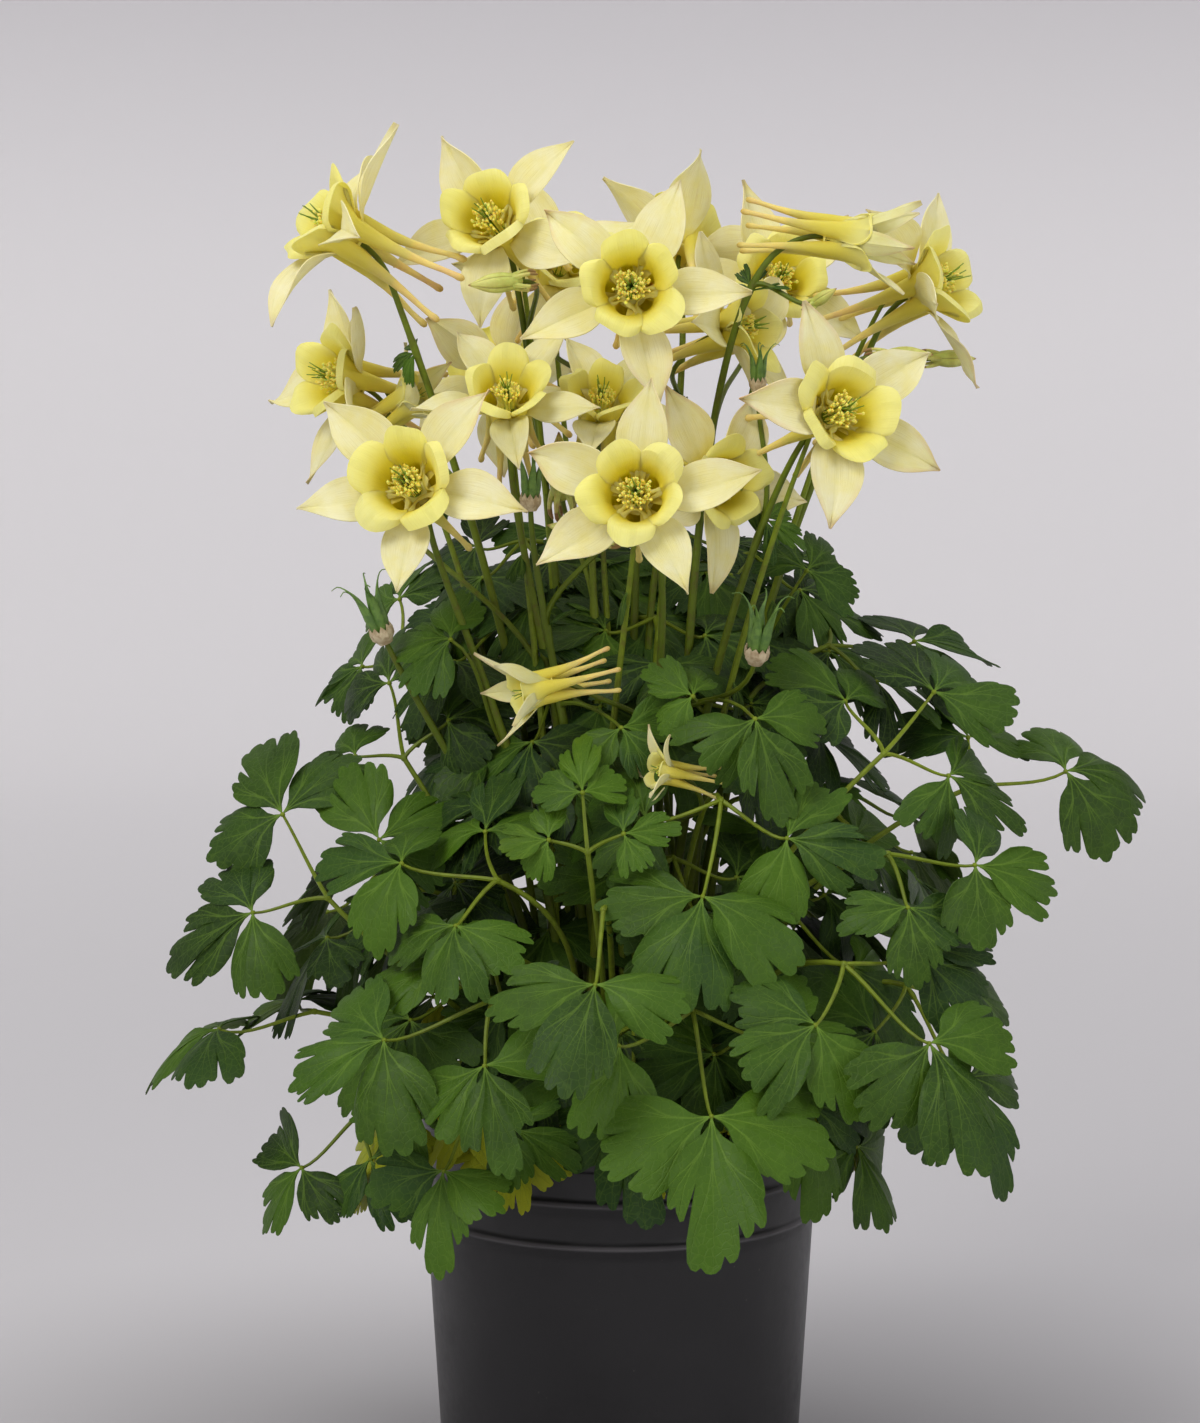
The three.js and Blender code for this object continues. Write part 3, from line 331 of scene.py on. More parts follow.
# ---------------------------------------------------------------- meshes
class Body:
    """A mesh under construction: points, what the materials read there, and faces."""

    def __init__(self):
        self.points, self.looks, self.tones, self.faces, self.slots = [], [], [], [], []
        self.size = 0

    def add(self, points, look=(0, 0, 0), tone=(0, 0, 0)):
        shape = points.shape[:-1]
        points = points.reshape(-1, 3)
        self.points.append(points)
        self.looks.append(np.broadcast_to(look, (*shape, 3)).reshape(-1, 3))
        self.tones.append(np.broadcast_to(tone, (*shape, 3)).reshape(-1, 3))
        ids = np.arange(self.size, self.size + len(points)).reshape(shape)
        self.size += len(points)
        return ids

    def fill(self, faces, slot):
        self.faces.append(faces)
        self.slots.append(np.full(len(faces), slot))

    def wall(self, rows, slot, wrap=False, flip=False):
        """Faces over a grid of points, which look along (down the rows) x (along a row)."""
        if wrap:
            rows = np.concatenate([rows, rows[:, :1]], axis=1)
        quad = [rows[:-1, :-1], rows[1:, :-1], rows[1:, 1:], rows[:-1, 1:]]
        if flip:
            quad.reverse()
        self.fill(np.stack(quad, axis=-1).reshape(-1, 4), slot)

    def fan(self, ring, centre, slot, look=(0, 0, 0), tone=(0, 0, 0)):
        tip = np.full(len(ring), self.add(centre[None], look, tone)[0])
        self.fill(np.stack([ring, np.roll(ring, -1), tip], axis=-1), slot)

    def closed(self, rings, first, last, slot, look=(0, 0, 0), tone=(0, 0, 0)):
        """A closed form over rings of points, with a point before the first and after the last."""
        look = np.broadcast_to(look, rings.shape)
        ids = self.add(rings, look, tone)
        self.wall(ids, slot, wrap=True)
        self.fan(ids[0], first, slot, look[0, 0], tone)
        self.fan(ids[-1][::-1], last, slot, look[-1, 0], tone)

    def sheet(self, layer, thickness, slots, look=(0, 0, 0), tone=(0, 0, 0), wrap=False, start=0):
        """The two sides of a thin sheet over a grid, the under side only from the start row."""
        along = np.gradient(layer, axis=0)
        across = np.gradient(layer, axis=1)
        if wrap:
            across = (np.roll(layer, -1, 1) - np.roll(layer, 1, 1)) / 2
        normals = np.cross(along, across)
        normals /= np.linalg.norm(normals, axis=-1, keepdims=True) + 1e-9
        half = np.broadcast_to(thickness, layer.shape[:2])[..., None] / 2
        top = self.add(layer + normals * half, look, tone)
        under = self.add(layer - normals * half, look, tone)
        self.wall(top, slots[0], wrap)
        self.wall(under[start:], slots[1], wrap, flip=True)
        return top, under

    def rim(self, top, under, slot):
        """Joins two loops of points, the first running with its own faces on the left."""
        a, b = top, np.roll(top, -1)
        self.fill(np.stack([b, a, under, np.roll(under, -1)], axis=-1), slot)

    def blade(self, layer, thickness, slots, look=(0, 0, 0), tone=(0, 0, 0)):
        top, under = self.sheet(layer, thickness, slots, look, tone)
        loop = [np.concatenate([g[:-1, 0], g[-1, :-1], g[:0:-1, -1], g[0, :0:-1]]) for g in (top, under)]
        self.rim(*loop, slots[0])

    def tube(self, path, radii, sides, slot, look=(0, 0, 0), tone=(0, 0, 0), start=None, flat=1):
        """A closed round tube along a path, flattened across its first normal by flat."""
        tangents = np.gradient(path, axis=0)
        tangents /= np.linalg.norm(tangents, axis=1, keepdims=True)
        normal = start
        if start is None:
            normal = np.cross(tangents[0], UP if abs(tangents[0][2]) < 0.9 else vec(1, 0, 0))
        turn = around(sides)
        rings = []
        for point, tangent, radius in zip(path, tangents, np.broadcast_to(radii, len(path))):
            normal = unit(normal - tangent * (normal @ tangent))
            binormal = np.cross(tangent, normal)
            ring = np.outer(np.cos(turn) * flat, normal) - np.outer(np.sin(turn), binormal)
            rings.append(point + ring * radius)
        steps = np.linalg.norm(np.diff(path, axis=0), axis=1)
        run = np.concatenate([[0], np.cumsum(steps)])
        looks = np.zeros((len(path), sides, 3)) + look
        looks[..., 0] += (run / run[-1])[:, None]
        self.closed(np.stack(rings), path[0], path[-1], slot, looks, tone)

    def bead(self, centre, axis, length, radius, slot, sides=6, rings=4, look=(0, 0, 0), tone=(0, 0, 0)):
        a = np.linspace(-1, 1, rings + 2) * math.pi / 2 * 0.94
        path = centre + np.outer(np.sin(a) * length / 2, axis)
        self.tube(path, np.cos(a) * radius, sides, slot, look, tone)

    def object(self, name, materials, smooth_angle=50):
        mesh = bpy.data.meshes.new(name)
        points = np.concatenate(self.points) * MM
        mesh.vertices.add(len(points))
        mesh.vertices.foreach_set("co", points.ravel())
        corners = np.concatenate([f.ravel() for f in self.faces])
        counts = np.concatenate([np.full(len(f), f.shape[1]) for f in self.faces])
        mesh.loops.add(len(corners))
        mesh.loops.foreach_set("vertex_index", corners)
        mesh.polygons.add(len(counts))
        mesh.polygons.foreach_set("loop_start", np.concatenate([[0], np.cumsum(counts)[:-1]]))
        mesh.update(calc_edges=True)
        mesh.polygons.foreach_set("material_index", np.concatenate(self.slots))
        for key, values in (("look", self.looks), ("tone", self.tones)):
            made = mesh.attributes.new(key, "FLOAT_VECTOR", "POINT")
            made.data.foreach_set("vector", np.concatenate(values).astype(np.float32).ravel())
        mesh.shade_smooth()
        mesh.set_sharp_from_angle(angle=math.radians(smooth_angle))
        for material in materials:
            mesh.materials.append(material)
        made = bpy.data.objects.new(name, mesh)
        bpy.context.scene.collection.objects.link(made)
        return made


def piece(body, name, materials, slot, *nodes, smooth_angle=50):
    made = body.object(name, materials, smooth_angle)
    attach(made, "root")
    if nodes:
        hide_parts(*nodes)


# ---------------------------------------------------------------- materials
def srgb(*levels):
    """A colour from its 0 to 255 levels, in linear light."""
    part = [level / 255 for level in levels]
    return (*(c / 12.92 if c <= 0.04045 else ((c + 0.055) / 1.055) ** 2.4 for c in part), 1)


class Material:
    def __init__(self, name, **settings):
        self.made = bpy.data.materials.new(name)
        self.made.use_nodes = True
        self.tree = self.made.node_tree
        self.surface = self.tree.nodes["Principled BSDF"]
        for key, value in settings.items():
            self.surface.inputs[key.replace("_", " ")].default_value = value

    def node(self, kind, *links, **settings):
        made = self.tree.nodes.new("ShaderNode" + kind)
        for key, value in settings.items():
            setattr(made, key, value)
        for spot, value in links:
            if isinstance(value, bpy.types.NodeSocket):
                self.tree.links.new(value, made.inputs[spot])
            else:
                made.inputs[spot].default_value = value
        return made

    def reads(self, name):
        """The three numbers that the mesh keeps under a name."""
        vector = self.node("Attribute", attribute_name=name).outputs["Vector"]
        return self.node("SeparateXYZ", (0, vector)).outputs

    def place(self):
        return self.node("TexCoord").outputs["Object"]

    def noise(self, scale, detail=3, rough=0.55, vector=None, spread=0):
        vector = self.place() if vector is None else vector
        links = [("Vector", vector), ("Scale", scale), ("Detail", detail), ("Roughness", rough)]
        return self.node("TexNoise", *links, ("Distortion", spread)).outputs["Fac"]

    def cells(self, scale, feature="F1"):
        links = [("Vector", self.place()), ("Scale", scale)]
        return self.node("TexVoronoi", *links, feature=feature).outputs["Distance"]

    def math(self, operation, *values):
        return self.node("Math", *enumerate(values), operation=operation).outputs[0]

    def between(self, value, low, high, a=0, b=1):
        """The value's place between low and high, from a to b, kept within them."""
        links = [(0, value), (1, low), (2, high), (3, a), (4, b)]
        return self.node("MapRange", *links, interpolation_type="SMOOTHSTEP").outputs[0]

    def blend(self, share, a, b):
        return self.node("Mix", (0, share), (6, a), (7, b), data_type="RGBA").outputs[2]

    def paint(self, base, share, *colour):
        return self.blend(share, base, srgb(*colour))

    def coat(self, base, value, limits, *colour):
        """The base, which turns to a colour as the value goes from one limit to the other."""
        return self.paint(base, self.between(value, *limits), *colour)

    def streaks(self, scale, aside, along):
        """Fine noise, drawn out along a part, from places across it and along it."""
        return self.noise(scale, 2, 0.5, self.node("CombineXYZ", (0, aside), (1, along)).outputs[0])

    def times(self, a, b):
        return self.math("MULTIPLY", a, b)

    def plus(self, a, b):
        return self.math("ADD", a, b)

    def minus(self, a, b):
        return self.math("SUBTRACT", a, b)

    def absolute(self, a):
        return self.math("ABSOLUTE", a)

    def set(self, name, value):
        self.tree.links.new(value, self.surface.inputs[name])

    def skin(self, base, height, distance, strength):
        """The material with its colour and its relief."""
        links = [("Height", height), ("Distance", distance), ("Strength", strength)]
        self.set("Base Color", base)
        self.set("Normal", self.node("Bump", *links).outputs[0])
        return self.made


def leaf_material(name, greens, rough, upper):
    """A leaflet's skin. look: tooth number, distance from the hub, spacing of the teeth there in
    millimetres. tone: how light, how yellow, and how blue."""
    deep, light, blue, vein, yellow = (srgb(*green) for green in greens)
    m = Material(name, Roughness=rough, Specular_IOR_Level=0.22)
    tooth, out, spacing = m.reads("look")
    pale, gold, bloom = m.reads("tone")
    patch = m.noise(95, 3, 0.6)
    base = m.blend(m.between(m.plus(m.times(patch, 0.5), pale), 0.1, 1.1), deep, light)
    base = m.blend(m.times(bloom, m.between(m.noise(45, 2), 0.35, 0.65, 0.4, 1)), base, blue)
    base = m.blend(m.between(m.plus(gold, m.times(patch, 0.3)), 0.28, 1.0), base, yellow)
    # A main vein runs from the hub into each lobe, and side veins part from it to its teeth.
    lobe = m.times(m.math("ROUND", m.math("DIVIDE", tooth, 3)), 3)
    inside = m.minus(tooth, lobe)
    parted = m.between(out, 0.16, 0.95)
    branch = m.math("ROUND", m.math("DIVIDE", inside, m.math("MAXIMUM", parted, 0.02)))
    nearest = m.math("MAXIMUM", m.math("MINIMUM", branch, 1), -1)
    off = m.absolute(m.minus(inside, m.times(nearest, parted)))
    width = m.between(out, 0, 1, 0.5, 0.22)
    line = m.math("DIVIDE", m.times(off, spacing), width)
    line = m.minus(1, m.between(line, 0.2, 1))
    fade = m.between(out, 0.1, 0.95, 0.36, 0.1 if upper else 0.4)
    net = m.cells(330, "DISTANCE_TO_EDGE")
    mesh = m.minus(1, m.between(net, 0.0, 0.1))
    base = m.blend(m.times(mesh, 0.11 if upper else 0.2), base, vein)
    base = m.blend(m.times(line, fade), base, vein)
    base = m.blend(m.between(out, 0.13, 0.02, 0, 0.6), base, vein)
    relief = m.plus(m.times(line, -0.4 if upper else 0.8), m.times(mesh, -0.25))
    relief = m.plus(relief, m.times(m.noise(700, 2), 0.15))
    m.set("Roughness", m.between(m.noise(60, 2), 0.3, 0.7, rough - 0.07, rough + 0.08))
    return m.skin(base, relief, 0.00035, 0.8)


def stalk_material():
    """look: share of the length. tone: how dark, how reddish."""
    m = Material("stalk", Roughness=0.5, Specular_IOR_Level=0.25)
    share, _, _ = m.reads("look")
    dark, red, _ = m.reads("tone")
    streak = m.noise(260, 3, 0.6)
    base = m.blend(m.between(streak, 0.3, 0.7), srgb(120, 136, 30), srgb(102, 120, 20))
    base = m.coat(base, dark, (0, 1), 70, 88, 12)
    base = m.paint(base, m.times(m.between(streak, 0.45, 0.75), red), 104, 70, 50)
    base = m.coat(base, share, (0.12, 0.0, 0, 0.35), 150, 150, 96)
    return m.skin(base, m.noise(1400, 2), 0.00015, 0.6)


SILK = dict(Roughness=0.55, Specular_IOR_Level=0.2, Subsurface_Scale=0.0035)


def petal_material(name, inside):
    """look: share of the way from spur tip to lip, place round the ring. tone: paleness, blush."""
    m = Material(name, Subsurface_Weight=0.5, Subsurface_Radius=(0.9, 0.75, 0.3), **SILK)
    share, ring, _ = m.reads("look")
    pale, blush, _ = m.reads("tone")
    soft = m.noise(120, 3, 0.6)
    lip, deep, throat = srgb(248, 238, 130), srgb(241, 218, 66), srgb(226, 200, 40)
    if inside:
        base = m.blend(m.between(share, 0.66, 0.98), deep, lip)
        base = m.blend(m.between(share, 0.66, 0.45), base, throat)
    else:
        base = m.blend(m.between(share, 0.55, 1.0), srgb(236, 212, 78), lip)
        base = m.coat(base, share, (0.5, 0.1), 238, 220, 130)
        flush = m.times(m.between(share, 0.62, 0.05), m.between(soft, 0.3, 0.7, 0.3, 1))
        base = m.paint(base, m.times(flush, blush), 220, 176, 128)
        base = m.coat(base, share, (0.05, 0.0, 0, 0.6), 178, 150, 60)
    pale = m.times(pale, m.between(share, 0.66, 0.85))
    base = m.paint(base, m.times(pale, m.between(soft, 0.2, 0.8, 0.5, 1)), 247, 238, 168)
    fine = m.streaks(14, m.times(ring, 18), m.times(share, 0.35))
    base = m.coat(base, fine, (0.5, 0.75, 0, 0.24), 214, 192, 70)
    return m.skin(base, m.plus(fine, m.times(m.noise(700, 2), 0.3)), 0.0003, 0.5)


def sepal_material(name, face):
    """look: share of the length, place across from -1 to 1. tone: greenness, blush."""
    m = Material(name, Subsurface_Weight=0.35, Subsurface_Radius=(0.9, 0.8, 0.45), **SILK)
    share, aside, _ = m.reads("look")
    green, blush, _ = m.reads("tone")
    soft = m.noise(110, 3, 0.6)
    base = m.blend(m.between(soft, 0.15, 0.85), srgb(249, 243, 198), srgb(243, 231, 152))
    base = m.coat(base, share, (0.42, 0.0, 0, 0.6), 230, 216, 116)
    # Painted light: the foot of a sepal, which lies in shade behind the petals, is painted the throat's
    # strong yellow against that shade.
    base = m.coat(base, share, (0.19, 0.06, 0, 0.85), 236, 212, 58)
    base = m.paint(base, m.times(green, m.between(share, 0.9, 0.2, 0.45, 1)), 188, 196, 96)
    # Veins run the length of a sepal, bowed with its edges.
    fine = m.streaks(6, m.times(aside, 9), m.times(share, 0.5))
    vein = m.between(fine, 0.5, 0.7, 0, 0.42)
    base = m.blend(vein, base, srgb(214, 200, 120) if face else srgb(206, 178, 122))
    middle = m.between(m.absolute(aside), 0.22, 0.0, 0, 0.22)
    base = m.paint(base, middle, 222, 214, 132)
    tip = m.times(m.between(share, 0.86, 1.0), m.between(soft, 0.25, 0.6, 0.5, 1))
    base = m.paint(base, m.times(tip, m.between(blush, 0, 0.6, 0.3, 0.85)), 158, 112, 70)
    edge = m.times(m.between(m.absolute(aside), 0.6, 1.0), m.between(share, 0.35, 0.9))
    base = m.paint(base, m.times(edge, blush), 214, 168, 128)
    return m.skin(base, m.plus(fine, m.times(m.noise(700, 2), 0.3)), 0.0004, 0.5)


def speckled(name, a, b, scale, rough, **settings):
    m = Material(name, Roughness=rough, **settings)
    patch = m.noise(scale, 4, 0.6)
    base = m.blend(m.between(patch, 0.35, 0.65), srgb(*a), srgb(*b))
    return m.skin(base, m.noise(scale * 4, 3), 0.0002, 0.6)


def bud_material():
    """look: share of the length, place across a segment. tone: blush."""
    wax = dict(Subsurface_Weight=0.15, Subsurface_Scale=0.002)
    m = Material("bud", Roughness=0.5, Specular_IOR_Level=0.35, **wax)
    share, seam, _ = m.reads("look")
    blush, _, _ = m.reads("tone")
    soft = m.noise(180, 3, 0.6)
    base = m.blend(m.between(soft, 0.3, 0.7), srgb(196, 204, 104), srgb(176, 190, 84))
    base = m.coat(base, share, (0.25, 0.8, 0, 0.45), 222, 218, 132)
    base = m.coat(base, seam, (0.7, 1.0, 0, 0.55), 122, 110, 50)
    red = m.times(m.between(soft, 0.35, 0.7), blush)
    base = m.paint(base, red, 170, 112, 78)
    base = m.coat(base, share, (0.93, 1.0, 0, 0.8), 128, 82, 52)
    return m.skin(base, m.noise(800, 2), 0.0002, 0.5)


# Heights of the painted highlight lines on the pot: the upper edge of each step and of the rim.
HIGHLIGHT_LINES = [POT["height"] - depth for depth in (*POT["rings"], 0)]


def pot_material():
    m = Material("pot_plastic", Specular_IOR_Level=0.45)
    smudge = m.noise(16, 4, 0.6)
    fine = m.noise(240, 3, 0.6)
    base = m.blend(m.between(smudge, 0.35, 0.7), srgb(18, 17, 19), srgb(24, 23, 25))
    speck = m.between(m.cells(160), 0.09, 0.04)
    speck = m.times(speck, m.between(m.noise(40, 2), 0.5, 0.62))
    base = m.paint(base, m.times(speck, 0.35), 80, 76, 70)
    dust = m.times(m.between(m.noise(7, 5, 0.65, spread=0.6), 0.5, 0.75), 0.08)
    base = m.paint(base, dust, 92, 88, 84)
    # Painted highlights: pale lines along the upper edge of each step and of the rim, standing in for the
    # light from above that catches them.
    high = m.node("SeparateXYZ", (0, m.place())).outputs[2]
    for ring in HIGHLIGHT_LINES:
        line = m.between(m.absolute(m.minus(high, ring * MM)), 0.0013, 0.0002)
        line = m.times(line, m.between(smudge, 0.2, 0.7, 0.35, 0.8))
        base = m.paint(base, line, 104, 101, 104)
    m.set("Roughness", m.between(m.plus(smudge, m.times(fine, 0.25)), 0.45, 0.85, 0.36, 0.52))
    return m.skin(base, m.plus(fine, m.times(m.noise(1500, 2), 0.5)), 0.00012, 0.35)


def soil_material():
    """tone: how light a crumb or chip is."""
    m = Material("potting_mix", Roughness=0.95, Specular_IOR_Level=0.2)
    light, _, _ = m.reads("tone")
    grain = m.noise(420, 5, 0.7)
    base = m.blend(m.between(grain, 0.35, 0.65), srgb(26, 20, 16), srgb(58, 44, 33))
    base = m.paint(base, m.times(light, m.between(grain, 0.2, 0.7, 0.6, 1)), 110, 84, 60)
    return m.skin(base, grain, 0.0012, 0.9)


# A leaf's deep, light, bluish, vein and yellow greens.
UPPER = ((19, 39, 6), (66, 99, 12), (31, 59, 21), (108, 140, 46), (158, 164, 28))
UNDER = ((62, 86, 32), (86, 112, 40), (74, 98, 54), (124, 146, 76), (140, 142, 34))
TENDER = dict(Subsurface_Weight=0.5, Subsurface_Scale=0.001)
LEAF = [
    leaf_material("leaf_upper", UPPER, 0.55, True),
    leaf_material("leaf_under", UNDER, 0.65, False),
    stalk_material(),
]
FLOWER = [
    sepal_material("sepal_face", True),
    sepal_material("sepal_back", False),
    petal_material("petal_inside", True),
    petal_material("petal_outside", False),
    speckled("anther", (255, 246, 140), (250, 228, 86), 900, 0.7, **TENDER),
    speckled("filament", (252, 246, 156), (246, 236, 122), 500, 0.5, **TENDER),
    speckled("pistil", (138, 164, 58), (104, 134, 36), 400, 0.5),
]
SHOOT = LEAF + [
    bud_material(),
    speckled("follicle", (104, 138, 56), (76, 110, 44), 300, 0.5),
    speckled("dry_collar", (206, 190, 156), (168, 146, 112), 350, 0.8),
]
# The places of the materials in those lists.
LEAF_UPPER, LEAF_UNDER, STALK_SKIN, BUD_SKIN, FOLLICLE, DRY_COLLAR = range(len(SHOOT))
SEPAL_FACE, SEPAL_BACK, PETAL_INSIDE, PETAL_OUTSIDE, ANTHER, FILAMENT, PISTIL = range(len(FLOWER))
PAST_FOOT = (0.3, 0, 0)  # a twig's look starts here, past the pale foot that a stalk has


# ---------------------------------------------------------------- leaves
LEAFLET = dict(turns=(-77, 0, 77), halves=(43, 36, 43), lengths=(0.9, 1.06, 0.9), droop=34)
SPRAY = dict(reach=0.95, side_reach=0.66, turn=66, heading=84, side_size=0.86, lift=5)
TEETH = 9  # three for each of three lobes
# How far each tooth of a leaflet reaches, and how deep the notch after each one cuts.
MIDDLE = (
    (0.6, 0.82, 0.84, 0.94, 1.0, 0.94, 0.84, 0.82, 0.6),
    (0.06, 0.07, 0.36, 0.06, 0.06, 0.36, 0.07, 0.06),
)
SIDE = (
    (0.62, 0.86, 0.9, 0.97, 1.0, 0.93, 0.9, 0.87, 0.62),
    (0.06, 0.07, 0.2, 0.06, 0.07, 0.34, 0.07, 0.06),
)
CLEFT = 0.17  # a notch deeper than this parts two lobes
ROWS = {  # rows of points from the hub to the edge, for a number of steps along a tooth
    5: (0, 0.17, 0.37, 0.57, 0.76, 0.91, 1.0),
    4: (0, 0.2, 0.45, 0.68, 0.87, 1.0),
    3: (0, 0.22, 0.5, 0.78, 1.0),
}


def leaflet(body, root, heading, normal, turn, half, length, outline, rng, tone, steps=5):
    """One leaflet: a thin sheet from the hub, cut into lobes and round teeth."""
    reach, cuts = (np.array(values) for values in outline)
    tooth = np.linspace(-TEETH / 2, TEETH / 2, TEETH * steps + 1)
    centres = np.arange(TEETH) - (TEETH - 1) / 2
    lobes = np.repeat(rng.normal(0, 0.07, 3), 3) + rng.normal(0, 0.02, TEETH)
    far = through(centres, reach * (1 + lobes), np.clip(tooth, centres[0], centres[-1]))
    far *= np.where(abs(tooth) > centres[-1], 1 - 0.5 * (abs(tooth) - centres[-1]), 1)
    clefts, notches = rng.uniform(0.45, 1.3, TEETH - 1), rng.uniform(0.6, 1.5, TEETH - 1)
    cuts = cuts * np.where(cuts > CLEFT, clefts, notches)
    notch = np.concatenate([[0.1], cuts, [0.1]])
    nearest = np.rint(tooth + TEETH / 2).astype(int)
    sharp = np.where(notch[nearest] > CLEFT, 0.42, 0.5)  # round teeth, and deep clefts are narrow
    depth = notch[nearest] * (1 - abs(np.cos(math.pi * tooth)) ** sharp)
    edge = far * (1 - depth) * length
    share = np.array(ROWS[steps])[:, None]
    hub = 0.9
    out = hub + (edge[None] - hub) * share
    # Teeth are a little uneven in width, and the sides leave the hub in a wedge.
    across = tooth / (TEETH / 2)
    across = across + 0.035 * np.sin(across * 5 + rng.uniform(0, 6)) * (1 - across**2)
    half = half * rng.uniform(0.88, 1.08)
    flare = mix(0.42, 1.06, smooth(0, 0.75, share))
    angle = np.radians(half) * across[None] * flare
    bend = math.radians(LEAFLET["droop"] + rng.normal(0, 9)) / length
    ahead = np.sin(bend * out) / bend
    down = (1 - np.cos(bend * out)) / bend
    x, y = np.cos(angle) * ahead, np.sin(angle) * ahead
    wide = length * math.radians(half)
    fold = rng.normal(0.02, 0.07) * wide
    z = -down + fold * (y / wide * 2) ** 2
    ripple = np.sin(across * rng.uniform(2.5, 5.0) + rng.uniform(0, 6)) * share**2
    z = z + ripple * rng.uniform(0.5, 2.2) * length / 40
    # Each lobe is a shallow trough along its main vein, and its end turns up or down.
    z = z + 0.014 * length * (1 - abs(np.cos(math.pi * tooth / 3))) * share * (1 - share) * 2
    ends = through((-4.5, -3, 0, 3, 4.5), rng.normal(0, 1, 5), tooth)
    z = z + ends * share**3 * length * 0.035
    roll, pitch = rng.normal(0, 0.14), rng.normal(0, 0.10)
    y, z = rotated(y, z, roll)
    x, z = rotated(x, z, pitch)
    left = np.cross(normal, heading)
    s, e = rotated(left, heading, math.radians(turn + rng.normal(0, 5)))
    layer = root + x[..., None] * e + y[..., None] * s + z[..., None] * normal
    spacing = out * np.radians(half) * flare / (TEETH / 2)
    look = together(tooth, out / length, spacing)
    thick = BLADE * mix(1, 0.6, share**3) * np.ones_like(out)
    own = tone + vec(rng.normal(0, 0.15), rng.normal(0, 0.05), rng.uniform(-0.5, 0.8))
    body.blade(layer, thick, (LEAF_UPPER, LEAF_UNDER), look, np.clip(own, 0, 1))


def spray(body, root, heading, normal, size, rng, tone, steps=5):
    """Three leaflets round a hub."""
    kinds = ([part[::-1] for part in SIDE], MIDDLE, SIDE)
    plan = zip(LEAFLET["turns"], LEAFLET["halves"], LEAFLET["lengths"], kinds)
    for turn, half, length, kind in plan:
        own = length * size * rng.uniform(0.94, 1.06)
        leaflet(body, root, heading, normal, turn, half, own, kind, rng, tone, steps)
    body.bead(root - normal * 0.4, normal, 2.2, 1.15, STALK_SKIN, look=(0.5, 0, 0))


def rise(foot, lift, approach, end):
    """A straight part in the soil, then the control points of the curve to the end."""
    surface = vec(*foot, SOIL["top"] + SOIL["dome"] + 1)
    bottom = vec(*foot, SOIL["top"] - SOIL["hole"] + GAP)
    return bottom, (surface, surface + UP * lift, approach, end)


def leaf_foot(fork):
    radius = np.interp(fork[2], CROWN["heights"], CROWN["radii"])
    length = math.hypot(fork[0], fork[1])
    return fork[0] / length * radius, fork[1] / length * radius


def leaf(body, fork, face, clock, size, sprays, rng, tone, foot=None, steps=5):
    at = vec(*fork)
    axes = frame_of(facing(*face))
    normal = axes[2]
    outward = unit(vec(at[0], at[1], 0))
    arrival = unit(clockwise(axes, clock) + outward * STALK["out"] + UP * STALK["up"])
    foot = foot or leaf_foot(fork)
    span = np.linalg.norm(at - vec(*foot, SOIL["top"]))
    lift = max(STALK["least"], STALK["lift"] * (at[2] - SOIL["top"]))
    bottom, curve = rise(foot, lift, at - arrival * STALK["bend"] * span, at)
    path = np.vstack([bottom, bezier(*curve, 18)])
    shade = (rng.uniform(0.0, 0.5), rng.uniform(0, 0.25), 0)
    body.tube(path, np.linspace(STALK["foot"], STALK["fork"], len(path)), 8, STALK_SKIN, tone=shade)
    body.bead(at, arrival, 3.6, STALK["fork"] * 1.35, STALK_SKIN, look=(0.5, 0, 0), tone=shade)
    for side in sprays:
        distance = size * (SPRAY["reach"] if side == 0 else SPRAY["side_reach"])
        away = clockwise(axes, clock + side * SPRAY["turn"])
        heading = clockwise(axes, clock + side * SPRAY["heading"])
        root = at + away * distance + normal * (SPRAY["lift"] if side == 0 else 0)
        length = size * (1 if side == 0 else SPRAY["side_size"])
        leave = at + unit(away + arrival * 0.35) * distance * 0.35
        arrive = root - unit(heading * 0.75 + normal * 0.66) * distance * 0.3
        twig = bezier(at, leave, arrive, root - normal * 0.6, 9)
        body.tube(twig, np.linspace(0.95, 0.62, 9), 6, STALK_SKIN, PAST_FOOT, shade)
        spray(body, root, heading, normal, length, rng, tone, steps)


# ---------------------------------------------------------------- blooms
# The turns of a flower's five petals, and of the five sepals between them.
PETALS, SEPALS = range(0, 360, 72), range(36, 360, 72)
STAMENS = 70
GOLDEN = 137.5  # the turn from one stamen to the next


